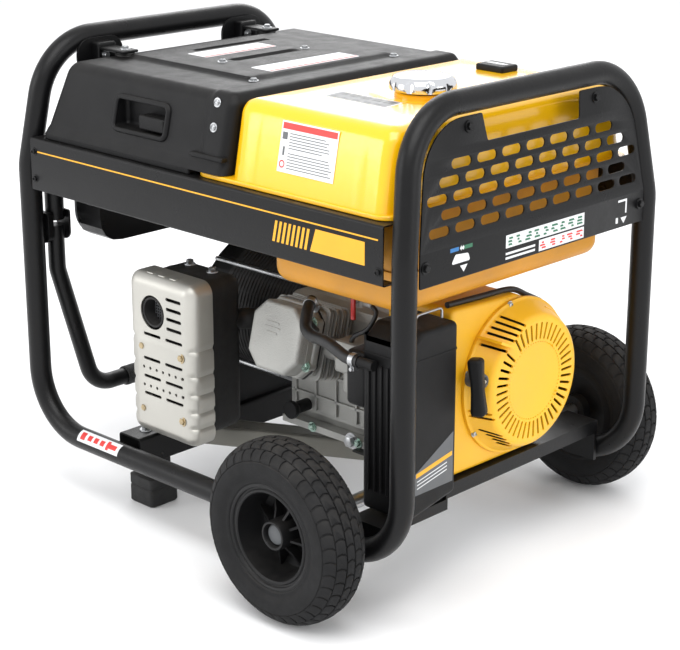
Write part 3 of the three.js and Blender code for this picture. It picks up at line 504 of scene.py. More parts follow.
def sheet_with_holes(outline, holes, thick, axis, station, edge=0.4):
    """A flat sheet cut to an outline, with holes, its edges rounded. All in millimetres.

    It is a filled flat curve, because Blender cuts its holes by itself and bevels every rim."""
    curve = bpy.data.curves.new("sheet", "CURVE")
    curve.dimensions = "2D"
    curve.fill_mode = "BOTH"
    curve.extrude = (thick / 2 - edge) * MM
    curve.bevel_depth = edge * MM
    curve.bevel_resolution = 1
    curve.offset = -edge * MM
    for loop in [outline, *holes]:
        spline = curve.splines.new("POLY")
        spline.points.add(len(loop) - 1)
        for point, at in zip(spline.points, loop):
            point.co = (at[0] * MM, at[1] * MM, 0, 1)
        spline.use_cyclic_u = True
    holder = bpy.data.objects.new("sheet", curve)
    bpy.context.scene.collection.objects.link(holder)
    data = bpy.data.meshes.new_from_object(holder)
    mesh = bmesh.new()
    mesh.from_mesh(data)
    bpy.data.objects.remove(holder)
    bpy.data.curves.remove(curve)
    bpy.data.meshes.remove(data)
    bmesh.ops.remove_doubles(mesh, verts=mesh.verts, dist=1e-6)
    offset = {"x": (station, 0, 0), "y": (0, station, 0), "z": (0, 0, station)}[axis]
    return move(mesh, Matrix.Translation(Vector(offset) * MM) @ ALONG[axis])


print("piece helpers ready")

# %% [markdown]
# ## Tube frame
#
# The cradle is one loop of 32 mm tube, bent cold and welded once: two hoops that lean inwards above the
# panels, and two rails below. A swept circle along a bent route gives bends with a true radius, which a
# chain of cylinders would not.

# %% Tube frame
FRAME_X, FRAME_Y, RAIL_Z, FOLD_Z, TOP_Z = 369, 248, 94, 497, 675
LEAN_X, LEAN_Y, FRAME_BEND, TUBE = 18, 28, 92, 16


def frame_loop():
    """The corners of the loop, from the middle of the near rail all the way round."""
    corners = [(0, -FRAME_Y, RAIL_Z)]
    for end in (1, -1):
        near = [(end * FRAME_X, -FRAME_Y, RAIL_Z), (end * FRAME_X, -FRAME_Y, FOLD_Z),
                (end * (FRAME_X - LEAN_X), LEAN_Y - FRAME_Y, TOP_Z)]
        far = [(x, -y, z) for x, y, z in reversed(near)]
        corners += (near + far) if end > 0 else [(x, -y, z) for x, y, z in near + far]
    corners.append((0, -FRAME_Y, RAIL_Z))
    return corners


loop = bent_route(frame_loop(), FRAME_BEND)
piece("frame_tube", swept(loop, circle(TUBE, 28)), powder_black,
      stands_for=["frame_hoop_left", "frame_hoop_right", "bottom_rail_near", "bottom_rail_far"], crease=60)
print("frame loop has", len(loop), "rings")

# %% [markdown]
# ## Cutting helper
#
# Slots and windows are real holes with real edges. They are cut with Blender's exact boolean, which copes
# with many cutters that share no faces. The cutters are joined first, so each piece is cut only once.

# %% Cutting helper
def loose(mesh, name="tool"):
    """A bmesh as a temporary object."""
    bmesh.ops.recalc_face_normals(mesh, faces=mesh.faces)
    data = bpy.data.meshes.new(name)
    mesh.to_mesh(data)
    mesh.free()
    made = bpy.data.objects.new(name, data)
    bpy.context.scene.collection.objects.link(made)
    return made


def boolean(mesh, tools, operation="DIFFERENCE"):
    """The mesh cut by, or joined with, the tools. Each of them is a closed bmesh."""
    body, cutter = loose(mesh, "body"), loose(merge(*tools), "cutter")
    step = body.modifiers.new("cut", "BOOLEAN")
    step.operation = operation
    step.solver = "EXACT"
    step.use_self = False
    step.object = cutter
    graph = bpy.context.evaluated_depsgraph_get()
    data = bpy.data.meshes.new_from_object(body.evaluated_get(graph))
    result = bmesh.new()
    result.from_mesh(data)
    for holder in (body, cutter):
        shape = holder.data
        bpy.data.objects.remove(holder)
        bpy.data.meshes.remove(shape)
    bpy.data.meshes.remove(data)
    return result


def prism(axis, outline, start, end):
    """An outline pushed along an axis between two stations, in millimetres."""
    mesh = bmesh.new()
    lower = [mesh.verts.new((u * MM, v * MM, start * MM)) for u, v in outline]
    upper = [mesh.verts.new((u * MM, v * MM, end * MM)) for u, v in outline]
    count = len(outline)
    for i in range(count):
        mesh.faces.new((lower[i], lower[(i + 1) % count], upper[(i + 1) % count], upper[i]))
    mesh.faces.new(lower[::-1])
    mesh.faces.new(upper)
    if axis == "y":
        return move(mesh, Matrix(((1, 0, 0, 0), (0, 0, 1, 0), (0, 1, 0, 0), (0, 0, 0, 1))))
    return move(mesh, ALONG[axis])


def screw(place, axis, radius=5.0, height=3.5, kind="hex", washer=1.6):
    """A bolt head on its washer. axis is the unit vector away from the surface, place is in millimetres."""
    sides = 6 if kind == "hex" else 20
    head = [(0, 0), (radius * 0.96, 0), (radius, 0.4), (radius, height - 0.8), (radius * 0.82, height)]
    if kind == "hex":
        head.append((0, height))
    else:
        head += [(radius * 0.55, height + 0.3), (radius * 0.5, height - 0.9), (0, height - 1.0)]
    mesh = merge(turned([(r, h + washer) for r, h in head], sides=sides),
                 turned([(0, 0), (radius * 1.5, 0), (radius * 1.55, 0.4), (radius * 1.5, washer), (0, washer)], sides=24))
    way = Vector(axis).normalized().to_track_quat("Z", "Y").to_matrix().to_4x4()
    return move(mesh, Matrix.Translation(mm(*place)) @ way)


# %% [markdown]
# ## Cross pieces, feet and engine rail
#
# Two pressed channels tie the bottom rails together. The left one carries the stepped rubber feet, the
# right one is a tray for the engine. A bare grey rail runs slantwise under the crankcase.

# %% Cross pieces and feet
CROSS_X0, CROSS_X1, CROSS_Z0, CROSS_Z1 = -208, -161, 75.3, 118
REACH_Y = FRAME_Y - TUBE


def channel_section(width, height, sheet, bend=5.0):
    """An upside-down channel's section, its bends round inside and out. u is across, v is up."""
    outer = rounded([(-width / 2, 0), (-width / 2, height, bend), (width / 2, height, bend), (width / 2, 0)])
    inner = rounded([(width / 2 - sheet, 0), (width / 2 - sheet, height - sheet, bend - sheet),
                     (sheet - width / 2, height - sheet, bend - sheet), (sheet - width / 2, 0)])
    return [Vector(p) for p in outer + inner]


cross_middle = (CROSS_X0 + CROSS_X1) / 2
section = [(u + cross_middle, v + CROSS_Z0 + 0.3) for u, v in
           channel_section(CROSS_X1 - CROSS_X0, CROSS_Z1 - CROSS_Z0, 3.2)]
cross = prism("y", section, -REACH_Y, REACH_Y)
holes = [prism("z", slot_outline(cross_middle, y, 24, 9), 100, 130) for y in (-150, 0, 150)]
piece("crossmember", boolean(cross, holes), powder_black, stands_for=["crossmember_left"], bevel=0.5)


def foot(name, side):
    """A stepped rubber block with a grooved waist, and the bolt that holds it."""
    x, y = -190, side * 185
    layers = []
    steps = [(20, 75), (20, 47), (26, 44), (26, 30), (25, 29), (25, 27), (26, 26), (26, 3), (23.5, 0)]
    corners = 6
    for half, z in steps:
        ring = rounded([(x + sx * half, y + sy * half, corners) for sx, sy in ((-1, -1), (1, -1), (1, 1), (-1, 1))], 4)
        layers.append([(u, v, z) for u, v in ring])
    mesh = bmesh.new()
    rings = [[mesh.verts.new(mm(*p)) for p in layer] for layer in layers]
    for upper, lower in zip(rings, rings[1:]):
        for i in range(len(upper)):
            mesh.faces.new((upper[i], upper[i - 1], lower[i - 1], lower[i]))
    mesh.faces.new(rings[0])
    mesh.faces.new(rings[-1])
    piece(f"rubber_foot_{name}", mesh, foot_rubber, stands_for=[f"foot_{name}"], bevel=0.4)
    piece(f"foot_bolt_{name}", screw((cross_middle, side * 200, CROSS_Z1 + 0.2), (0, 0, 1), 6.5, 5), zinc_steel)


for name, side in (("near", -1), ("far", 1)):
    foot(name, side)

CHANNEL_YAW = math.radians(28.3)
rail_section = channel_section(42, 28, 3, bend=4)
rail = prism("x", rail_section, 0, 290)
grooves = [box((-5, y - 1.2, 26.6), (295, y + 1.2, 30)) for y in (-13, 13)]
rail = boolean(rail, grooves)
move(rail, Matrix.Translation(mm(-150, -116, 90)) @ Matrix.Rotation(CHANNEL_YAW, 4, "Z"))
piece("engine_rail", rail, grey_paint, stands_for=["engine_channel"], bevel=0.4)

TRAY_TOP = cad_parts["engine_tray"]
TRAY_TOP.data.materials.clear()
TRAY_TOP.data.materials.append(powder_black)
print("rail turned by", round(math.degrees(CHANNEL_YAW), 1), "degrees")

# %% [markdown]
# ## Wheels
#
# The tyre is a turned carcass with separate rubber scales on its crown, staggered row by row as a real
# turf tread is. The rim is a deep moulded dish: a rolled flange, a barrel, a conical web stiffened by eight
# ribs, and a hub tube closed by a grey cap.

# %% Wheels
WHEEL_X, WHEEL_Y, WHEEL_RADIUS, CROWN_HALF = 230, 317, 125, 36
TREAD_DEPTH, TREAD_PITCHES, TREAD_ROWS = 2.4, 38, (-31, -19.5, -6.6, 6.6, 19.5, 31)


def crown(w):
    """The tread's radius at a distance w from the tyre's middle."""
    return WHEEL_RADIUS - 21 * abs(w / CROWN_HALF) ** 2.7


def tread_point(side, turns, w, depth):
    """A point of the tread: turns round the axle, w across, depth below the surface. In millimetres."""
    slope = (crown(w + 0.5) - crown(w - 0.5))
    length = math.hypot(slope, 1)
    radius = crown(w) - depth / length
    across = w + depth * slope / length
    angle = 2 * math.pi * turns
    return mm(WHEEL_X + radius * math.cos(angle), side * (WHEEL_Y + across), WHEEL_RADIUS + radius * math.sin(angle))


def tread(side):
    """Rows of rubber scales, every other row half a pitch on."""
    mesh = bmesh.new()
    for row, middle in enumerate(TREAD_ROWS):
        half = 5.4 if abs(middle) > 25 else 5.9
        for k in range(TREAD_PITCHES):
            start = k + 0.5 * (row % 2)
            outline = []
            for t in (-1, -0.6, 0, 0.6, 1):
                outline.append((start + 0.36 + 0.16 * (1 - t * t), middle + half * t))
            for t in (1, 0.6, 0, -0.6, -1):
                outline.append((start - 0.52 + 0.16 * (1 - t * t), middle + half * t))
            rings = []
            for shrink, depth in ((1.0, TREAD_DEPTH + 0.3), (0.97, 0.5), (0.88, 0.0)):
                ring = []
                for a, w in outline:
                    a = start + (a - start) * shrink
                    w = middle + (w - middle) * shrink
                    ring.append(mesh.verts.new(tread_point(side, a / TREAD_PITCHES, w, depth)))
                rings.append(ring)
            for lower, upper in zip(rings, rings[1:]):
                for i in range(len(lower)):
                    j = (i + 1) % len(lower)
                    mesh.faces.new((lower[i], lower[j], upper[j], upper[i]))
            mesh.faces.new(rings[-1])
    return mesh


def carcass(side):
    """The tyre below its tread, with a moulded line at the tread's edge and a bead that grips the rim."""
    half = [(crown(w) - TREAD_DEPTH, w) for w in (0, 9, 17, 24, 29, 33)]
    half += [(104.5, 35.2), (103, 34.6), (101.5, 36.6), (97, 37), (90, 36.6), (84, 35), (80, 33), (77, 32.4),
             (75, 32.8), (73, 32), (71, 29)]
    profile = [(r, -w) for r, w in reversed(half[1:])] + half + [(68, 20), (68, -20)]
    return turned([(r, -side * (WHEEL_Y + w)) for r, w in profile], "y", (WHEEL_X, 0, WHEEL_RADIUS), 96, close=True)


def rim(side):
    """The moulded wheel centre. w is measured outwards from the middle of the tyre."""
    section = [(10.8, -30), (22, -30), (22, -14), (46, -22), (58, -26), (60, -30), (70, -30), (72.5, -29), (73, -26),
               (69, -24), (69, 24), (73, 26), (73.5, 29), (72, 31), (69.5, 31.6), (67.5, 30.6), (66.5, 28.4),
               (64.5, 28), (63, 29.6), (61, 30), (59.4, 28.6), (58.4, 20), (57, -8), (54, -13), (44, -15), (24, -8),
               (20.5, -4), (20, 22), (19, 24), (16.5, 24), (15.6, 22), (15.4, 14), (10.8, 14)]
    body = turned([(r, -side * (WHEEL_Y + w)) for r, w in section], "y", (WHEEL_X, 0, WHEEL_RADIUS), 72, close=True)
    rib_shape = [(18, 12), (30, 4), (56.5, -6), (57.5, -12), (44, -16), (18, -10)]
    ribs = bmesh.new()
    for i in range(8):
        rib = prism("y", [(r, side * (WHEEL_Y + w)) for r, w in rib_shape], -1.7, 1.7)
        # The outline lies in the plane of the radius and the axle, so it is turned upright first.
        move(rib, Matrix(((1, 0, 0, 0), (0, 0, 1, 0), (0, 1, 0, 0), (0, 0, 0, 1))))
        move(rib, Matrix.Translation(mm(WHEEL_X, 0, WHEEL_RADIUS)) @ Matrix.Rotation(i * math.pi / 4 + 0.3, 4, "Y"))
        ribs = merge(ribs, rib)
    return merge(body, ribs)


for name, side in (("near", -1), ("far", 1)):
    body = f"wheel_{name}"
    piece(f"tyre_{name}", merge(carcass(side), tread(side)), tyre_rubber, body, [f"tyre_{name}"], crease=42)
    piece(f"rim_{name}", rim(side), rim_plastic, body, [f"wheel_rim_{name}"], crease=30)
    cap = [(0, 19.4), (9.5, 19.2), (13.2, 18.2), (14.6, 16), (14.8, 10), (0, 10)]
    piece(f"hub_cap_{name}", turned([(r, -side * (WHEEL_Y + w)) for r, w in cap], "y", (WHEEL_X, 0, WHEEL_RADIUS), 40),
          grey_moulded, body)
print("scales on each tyre:", TREAD_PITCHES * len(TREAD_ROWS))

# %% [markdown]
# ## Side panels
#
# Each side panel is one sheet folded in at the top and bottom. A bend in real sheet is round, so the
# section has arcs at its folds, and the paint on the lips catches the light. The near panel has a thin
# yellow line, a row of slanted bars and a plain yellow block, all cut from film.

# %% Side panels
PANEL_X, PANEL_Y, PANEL_Z0, PANEL_Z1, SHEET = 346, 262, 464, 541, 2


def folded_section():
    """The panel's section for the far side, as (y, z)."""
    bend = 3.5
    outer = rounded([(PANEL_Y - 22, PANEL_Z0), (PANEL_Y, PANEL_Z0, bend), (PANEL_Y, PANEL_Z1, bend),
                     (PANEL_Y - 37, PANEL_Z1)])
    inner = rounded([(PANEL_Y - 37, PANEL_Z1 - SHEET), (PANEL_Y - SHEET, PANEL_Z1 - SHEET, bend - SHEET),
                     (PANEL_Y - SHEET, PANEL_Z0 + SHEET, bend - SHEET), (PANEL_Y - 22, PANEL_Z0 + SHEET)])
    return outer + inner


def film(name, outline, station, side, material, slot, thick=0.25):
    """A thin sticker on a side panel. The outline is (x, z)."""
    start, end = sorted((side * station, side * (station + thick)))
    return piece(name, prism("y", outline, start, end), material, crease=20)


for name, side in (("near", -1), ("far", 1)):
    sheet = prism("x", [(side * y, z) for y, z in folded_section()], -PANEL_X, PANEL_X)
    piece(f"side_panel_{name}", sheet, powder_black, stands_for=[f"side_panel_{name}"])
    for end in (-1, 1):
        for z in (482, 522):
            if end < 0 or z < 500:
                piece(f"panel_bolt_{name}_{'left' if end < 0 else 'right'}_{z}",
                      screw((end * 338, side * (PANEL_Y - 0.1), z), (0, side, 0), 4, 2.6, "button", 0.8), powder_black)
    line = rectangle(-330, 338, 521.5, 523.5)
    film(f"yellow_line_{name}", [(u, v) for u, v, _ in line], PANEL_Y, side, film_yellow, "yellow_paint")
    bars = bmesh.new()
    for i in range(8):
        left = 160 + i * 8.2
        bar = [(left - 6 + 12 * k, z) for k, z in ((0, 486), (0.36, 486), (0.86, 514), (0.5, 514))]
        start, end = sorted((side * PANEL_Y, side * (PANEL_Y + 0.25)))
        bars = merge(bars, prism("y", [(-side * x, z) for x, z in bar], start, end))
    piece(f"yellow_bars_{name}", bars, film_yellow, crease=20)
    block = [(222, 486), (316, 486), (316, 516), (232, 516)]
    film(f"yellow_block_{name}", [(-side * x, z) for x, z in block], PANEL_Y, side, film_yellow,
         "yellow_paint")
print("panel section has", len(folded_section()), "points")

# %% [markdown]
# ## Slotted end plate
#
# The plate closes the right hoop. It stands near the outer side of the tube, straight up to the fold and
# then leaning in with the hoop. Its slots are punched in staggered rows; the tank shows through them. The
# notch at the top leaves two ears and lets a hand reach the tube.

# %% Slotted end plate
PLATE_X, PLATE_Y, PLATE_Z0, PLATE_FOLD, PLATE_TOP = 379, 231, 461, 505, 660
SLOT_ROWS, SLOT_PITCH, ROW_PITCH, FIRST_ROW = (9, 8, 9, 8, 7), 48.5, 19.8, 526
PLATE_SHEET = 2.5
LEAN = math.atan(LEAN_X / (TOP_Z - FOLD_Z))


def fold_over(mesh):
    """Leans everything above the fold inwards, as the press brake does."""
    for vert in mesh.verts:
        above = vert.co.z - PLATE_FOLD * MM
        if above > 0:
            depth = vert.co.x - PLATE_X * MM
            vert.co.x = PLATE_X * MM - above * math.sin(LEAN) + depth * math.cos(LEAN)
            vert.co.z = PLATE_FOLD * MM + above * math.cos(LEAN) + depth * math.sin(LEAN)
    return mesh


plate_outline = rounded([(-PLATE_Y, PLATE_Z0, 2), (PLATE_Y, PLATE_Z0, 2), (PLATE_Y, PLATE_FOLD),
                         (206, PLATE_TOP, 80), (97, PLATE_TOP, 3), (94, 624, 4), (-94, 624, 4), (-102, PLATE_TOP, 3),
                         (-206, PLATE_TOP, 80), (-PLATE_Y, PLATE_FOLD)], 10)
slots = []
for row, count in enumerate(SLOT_ROWS):
    for i in range(count):
        slots.append(slot_outline((i - (count - 1) / 2) * SLOT_PITCH, FIRST_ROW + row * ROW_PITCH, 38, 12.5))
plate = sheet_with_holes(plate_outline, slots, PLATE_SHEET, "x", PLATE_X - PLATE_SHEET / 2, edge=0.5)
# A line of vertices along the fold keeps the bend straight.
bmesh.ops.bisect_plane(plate, geom=plate.verts[:] + plate.edges[:] + plate.faces[:],
                       plane_co=mm(0, 0, PLATE_FOLD), plane_no=(0, 0, 1))
piece("slotted_plate", fold_over(plate), powder_black, stands_for=["slotted_end_plate"], crease=24)


def on_plate(y, z, lift=0.0):
    """A point on the plate's outer face, in millimetres."""
    above = max(0, z - PLATE_FOLD)
    lean = LEAN if above else 0
    return (PLATE_X - above * math.sin(lean) + lift * math.cos(lean), y,
            z - above * (1 - math.cos(lean)) + lift * math.sin(lean))


for name, y, z in (("upper_near", -129, 647), ("upper_far", 129, 647), ("lower_near", -222, 487), ("lower_far", 222, 487)):
    lean = LEAN if z > PLATE_FOLD else 0
    piece(f"plate_bolt_{name}", screw(on_plate(y, z, 0.1), (math.cos(lean), 0, math.sin(lean)), 5, 4), powder_black)


def plate_film(name, outline, material, lift=0.05):
    """A thin sticker on the plate's upright strip. The outline is (y, z)."""
    return piece(name, prism("x", outline, PLATE_X + lift, PLATE_X + lift + 0.2), material, crease=20)


def picture_row(name, y0, y1, z0, z1, count, tint):
    """A row of small picture squares with simple dark shapes, like those of a safety label."""
    plate_film(f"{name}_ground", [(y0, z0), (y1, z0), (y1, z1), (y0, z1)], film_white, 0.02)
    step = (y1 - y0) / count
    marks = bmesh.new()
    rng = random.Random(7 + count)
    for i in range(count):
        left = y0 + i * step + 1.4
        right = y0 + (i + 1) * step - 1.4
        low = z0 + 1.6
        tall = z1 - 1.6 - low
        for k in range(3):
            width = (right - left) * rng.uniform(0.3, 0.9)
            at = left + (right - left - width) * rng.random()
            base = low + tall * (0.08 + 0.3 * k)
            rect = [(at, base), (at + width, base), (at + width * 0.8, base + tall * 0.2), (at, base + tall * 0.2)]
            marks = merge(marks, prism("x", rect, PLATE_X + 0.2, PLATE_X + 0.32))
    piece(f"{name}_marks", marks, tint, crease=20)


picture_row("upper_pictures", -68, 96, 481, 498, 9, film_green)
picture_row("lower_pictures", 0, 96, 463.5, 478.5, 5, film_red)
lines = bmesh.new()
for i in range(2):
    lines = merge(lines, prism("x", [(-68, 466 + i * 6), (-8, 466 + i * 6), (-8, 469 + i * 6), (-68, 469 + i * 6)],
                               PLATE_X + 0.02, PLATE_X + 0.2))
piece("plain_text_lines", lines, film_white, crease=20)

marks = [[(-176, 497), (-160, 497), (-160, 502), (-176, 502)],
         [(-150, 497), (-134, 497), (-134, 502), (-150, 502)]]
plate_film("blue_mark", marks[0], film_blue)
plate_film("green_mark", marks[1], film_green)
plate_film("double_arrow", [(-158, 499.5), (-155, 503), (-155, 501), (-152, 501), (-152, 503), (-149, 499.5), (-152, 496),
                            (-152, 498), (-155, 498), (-155, 496)], film_white)
plate_film("valve_mark", rounded([(-174, 481, 2), (-138, 481, 2), (-142, 491, 3), (-166, 493, 3)], 3), film_white)
plate_film("near_triangle", [(-150, 468), (-143, 477), (-157, 477)], film_white)
plate_film("far_triangle", [(186, 466), (193, 475), (179, 475)], film_white)
plate_film("far_mark", rounded([(168, 468, 1), (173, 468, 1), (173, 476, 1), (168, 476, 1)], 2), film_white)
hook = [(172, 500), (192, 500), (192, 480), (189, 480), (189, 497), (172, 497)]
plate_film("far_hook", hook, film_white)
print("slots in the plate:", len(slots))

# %% [markdown]
# ## Soft blocks
#
# Pressed tanks and moulded covers are boxes with generous round edges, drafted walls and shallow swages.
# A soft block starts as a gridded box. Each point is pulled onto a box with round edges, and then a rule
# may shift it, which is how draft, plateaus and steps are added without any hand modelling.

# %% Soft blocks
def stations(low, high, radius, step, bends=4):
    """Grid positions along one side: close together in the round ends, even in between."""
    ends = [low + radius - radius * math.tan(math.radians(45 * k / bends)) for k in range(bends, -1, -1)]
    count = max(1, round((high - low - 2 * radius) / step))
    middle = [low + radius + (high - low - 2 * radius) * k / count for k in range(1, count)]
    return ends + middle + [low + high - v for v in reversed(ends)]


def soft_block(x0, x1, y0, y1, z0, z1, radius, step=12, rule=None, bends=4):
    """A box with round edges, in millimetres, every point then passed through the rule."""
    lines = [stations(x0, x1, radius, step, bends), stations(y0, y1, radius, step, bends),
             stations(z0, z1, radius, step, bends)]
    low, high = Vector((x0, y0, z0)), Vector((x1, y1, z1))
    mesh = bmesh.new()
    made = {}

    def corner(point):
        key = tuple(round(v, 3) for v in point)
        if key not in made:
            point = Vector(point)
            core = Vector([min(max(point[k], low[k] + radius), high[k] - radius) for k in range(3)])
            away = point - core
            place = core + away.normalized() * radius if away.length else point
            if rule:
                place = rule(place)
            made[key] = mesh.verts.new(place * MM)
        return made[key]

    for axis in range(3):
        a, b = [k for k in range(3) if k != axis]
        for level in (low[axis], high[axis]):
            for u0, u1 in zip(lines[a], lines[a][1:]):
                for v0, v1 in zip(lines[b], lines[b][1:]):
                    corners = []
                    for u, v in ((u0, v0), (u1, v0), (u1, v1), (u0, v1)):
                        point = [0, 0, 0]
                        point[axis], point[a], point[b] = level, u, v
                        corners.append(corner(point))
                    mesh.faces.new(corners)
    return mesh


def ease(value, start, end):
    """0 below start, 1 above end, smooth in between."""
    t = min(max((value - start) / (end - start), 0), 1)
    return t * t * (3 - 2 * t)


def window(value, low, high, soft):
    """1 inside a range, 0 outside, with soft sides."""
    return ease(value, low - soft, low + soft) * (1 - ease(value, high - soft, high + soft))


def keep_above(mesh, z):
    """Cuts away everything below a level and closes the cut."""
    cut = bmesh.ops.bisect_plane(mesh, geom=mesh.verts[:] + mesh.edges[:] + mesh.faces[:],
                                 plane_co=mm(0, 0, z), plane_no=(0, 0, 1), clear_inner=True)
    rim_edges = [e for e in cut["geom_cut"] if isinstance(e, bmesh.types.BMEdge)]
    bmesh.ops.contextual_create(mesh, geom=rim_edges)
    return mesh


# %% [markdown]
# ## Fuel tank
#
# The tank is two pressed shells with a flange between them. The upper shell leans in towards the top and has
# shallow swages in its long walls and round the filler. The lower shell hangs between the panels; its yellow is
# a darker tone, painted shade for the shadow it hangs in, and its gloss is duller. A chrome cap with a fluted
# skirt closes the filler.

# %% Fuel tank
SHELF = 541.3
TANK_X0, TANK_X1, TANK_Y, TANK_Z1 = 50.3, 335, 244, 652
FILLER_X, FILLER_Y = 205, -35


def press_tank(p):
    """The upper shell's draft, swages and crown."""
    up = min(max((p.z - SHELF) / (TANK_Z1 - SHELF), 0), 1)
    side = ease(abs(p.y), 215, 235) * (1 - ease(p.z, 615, 640))
    top = ease(p.z, 645, 651)
    y = p.y * (1 - 0.09 * up)
    y += math.copysign(2.4 * side * (window(p.x, 92, 286, 4) - 0.6 * window(p.x, 70, 330, 4)), p.y)
    plateau = window(p.x, 84, 312, 9) * window(p.y, -200, 200, 9)
    away = math.hypot(p.x - FILLER_X, p.y - FILLER_Y)
    z = p.z + top * (1.6 * plateau - 3.4 * (1 - ease(away, 62, 78)) - 1.6)
    x = p.x - 5 * up * max(0, (p.x - TANK_X0 - 100) / (TANK_X1 - TANK_X0 - 100))
    return Vector((x, y, z))


shell = soft_block(TANK_X0, TANK_X1, -TANK_Y, TANK_Y, 505, TANK_Z1, 22, 7, press_tank, 6)
piece("tank_upper_shell", keep_above(shell, SHELF + 1), tank_yellow, stands_for=["fuel_tank"], crease=50)
rim_outline = rounded(rectangle(-12, TANK_X1 + 9, -249, 249, 26), 10)
piece("tank_flange", prism("z", rim_outline, SHELF, SHELF + 6.4), tank_yellow, bevel=1.6)

# The lower shell and its seam wear the darker yellow, which holds painted shade.
basin = soft_block(92, 328, -208, 208, 408, 560, 22, 14)
bmesh.ops.bisect_plane(basin, geom=basin.verts[:] + basin.edges[:] + basin.faces[:], plane_co=mm(0, 0, SHELF),
                       plane_no=(0, 0, 1), clear_outer=True)
piece("tank_lower_shell", basin, basin_painted_shade_yellow, crease=50)
seam = rounded(rectangle(89, 331, -211, 211, 24), 8)
piece("tank_seam", prism("z", seam, 462, 465), basin_painted_shade_yellow, bevel=0.8)

neck = [(38, 640), (38, 653.6), (36.5, 655.2), (31, 655.3), (30, 654), (30, 640)]
piece("filler_neck", turned(neck, "z", (FILLER_X, FILLER_Y, 0), 48), tank_yellow)
gasket = [(30.4, 655.6), (36, 655.6), (36, 657.4), (30.4, 657.4)]
piece("cap_seal", turned(gasket, "z", (FILLER_X, FILLER_Y, 0), 48, close=True), hose_rubber, "cap_seal",
      ["cap_gasket"])


def cap_skirt():
    """A domed cap whose skirt has ten shallow finger flutes."""
    sides, flutes = 120, 10
    profile = [(0, 677.4), (24, 677.3), (33, 676.8), (38, 675.4), (41.4, 673), (43.6, 669.5), (44.8, 666), (45, 660.4),
               (44.4, 658.4), (42.6, 657.7), (0, 657.7)]
    mesh = bmesh.new()
    rings = []
    for radius, z in profile:
        if not radius:
            rings.append([mesh.verts.new(mm(FILLER_X, FILLER_Y, z))])
            continue
        ring = []
        for i in range(sides):
            angle = 2 * math.pi * i / sides
            depth = 2.3 * max(0, math.cos(flutes * angle)) ** 2 * window(z, 659.5, 671, 1.5)
            ring.append(mesh.verts.new(mm(FILLER_X + (radius - depth) * math.cos(angle),
                                          FILLER_Y + (radius - depth) * math.sin(angle), z)))
        rings.append(ring)
    for upper, lower in zip(rings, rings[1:]):
        for i in range(sides):
            corners = [upper[i % len(upper)], upper[(i + 1) % sides % len(upper)], lower[(i + 1) % sides % len(lower)],
                       lower[i % len(lower)]]
            mesh.faces.new(list(dict.fromkeys(corners)))
    return mesh


piece("filler_cap", cap_skirt(), polished_chrome, "filler_cap", ["fuel_cap"], crease=60)

gauge = soft_block(140, 190, 147, 183, 650.6, 661, 3.5, 20)
piece("gauge_case", gauge, moulded_black, stands_for=["fuel_gauge"], crease=40)
piece("gauge_window", prism("z", slot_outline(165, 165, 38, 12), 660.9, 661.4), clear_dark, bevel=0.2)
piece("gauge_strip", prism("z", slot_outline(165, 165, 24, 5), 661.3, 661.7), film_white)


def wall_y(z, base=TANK_Y, draft=0.09):
    """How far out the leaning wall stands at a level."""
    return base * (1 - draft * (z - SHELF) / (TANK_Z1 - SHELF))


def lean_on_wall(mesh, lift, side=-1, base=TANK_Y, draft=0.09):
    """Lays a flat sticker, drawn in x and z with its thickness in y, against the leaning wall."""
    for vert in mesh.verts:
        out = abs(vert.co.y) / MM
        vert.co.y = side * (wall_y(vert.co.z / MM, base, draft) + lift + out) * MM
    return mesh


def label_lines(x0, x1, z0, z1, count, seed):
    """Short grey bars that stand for the lines of a printed notice."""
    rng = random.Random(seed)
    mesh = bmesh.new()
    for i in range(count):
        z = z1 - (i + 0.5) * (z1 - z0) / count
        end = x0 + (x1 - x0) * rng.uniform(0.72, 1.0)
        mesh = merge(mesh, box((x0, 0.22, z - 0.55), (end, 0.34, z + 0.55)))
    return mesh


WALL_SWAGE = 2.6
piece("notice", lean_on_wall(box((140, 0, 571), (240, 0.2, 635)), WALL_SWAGE - 1), film_white, crease=20)
piece("notice_band", lean_on_wall(box((142, 0.2, 625), (238, 0.32, 633)), WALL_SWAGE - 1), film_red, crease=20)
text = merge(label_lines(156, 236, 600, 622, 6, 3), label_lines(156, 236, 575, 597, 6, 5))
piece("notice_lines", lean_on_wall(text, WALL_SWAGE - 1), film_grey, crease=20)
signs = merge(box((143, 0.2, 612), (152, 0.32, 621)), box((146, 0.2, 592), (149.5, 0.32, 603)))
piece("notice_signs", lean_on_wall(signs, WALL_SWAGE - 1), film_grey, crease=20)
ring_sign = turned([(3.2, 0.2), (5, 0.2), (5, 0.32), (3.2, 0.32)], "y", (147.5, 0, 581), 24, close=True)
piece("notice_ring", lean_on_wall(ring_sign, WALL_SWAGE - 1), film_red, crease=20)

plate_outline = [(126, -142, 1), (237, -142, 1), (232, -103, 1), (122, -103, 1)]
piece("rating_plate_rim", prism("z", rounded(plate_outline, 2), 651.4, 652.3), film_white)
piece("rating_plate", prism("z", rounded([(129, -140, 1), (234, -140, 1), (229.5, -105, 1), (125, -105, 1)], 2), 652.2,
                            652.5), film_grey)
marks = bmesh.new()
for i in range(5):
    left = 132 + i * 20
    marks = merge(marks, prism("z", [(left, -120), (left + 14, -120), (left + 13, -109), (left - 1, -109)], 652.4, 652.6))
    marks = merge(marks, prism("z", [(left, -135), (left + 10, -135), (left + 10, -131), (left, -131)], 652.4, 652.6))
piece("rating_plate_marks", marks, film_black, crease=20)
print("tank wall leans from", round(wall_y(SHELF)), "to", round(wall_y(TANK_Z1)), "mm")

# %% [markdown]
# ## Top cover
#
# The cover is a black moulding that hides the inverter. Its left end slopes, its walls lean in, and a broad
# plateau with two slots and a few bolts stiffens the top. A strip by the tank stands proud and ends in a
# lipped tab. The finger pull is a real pocket with a rolled frame.

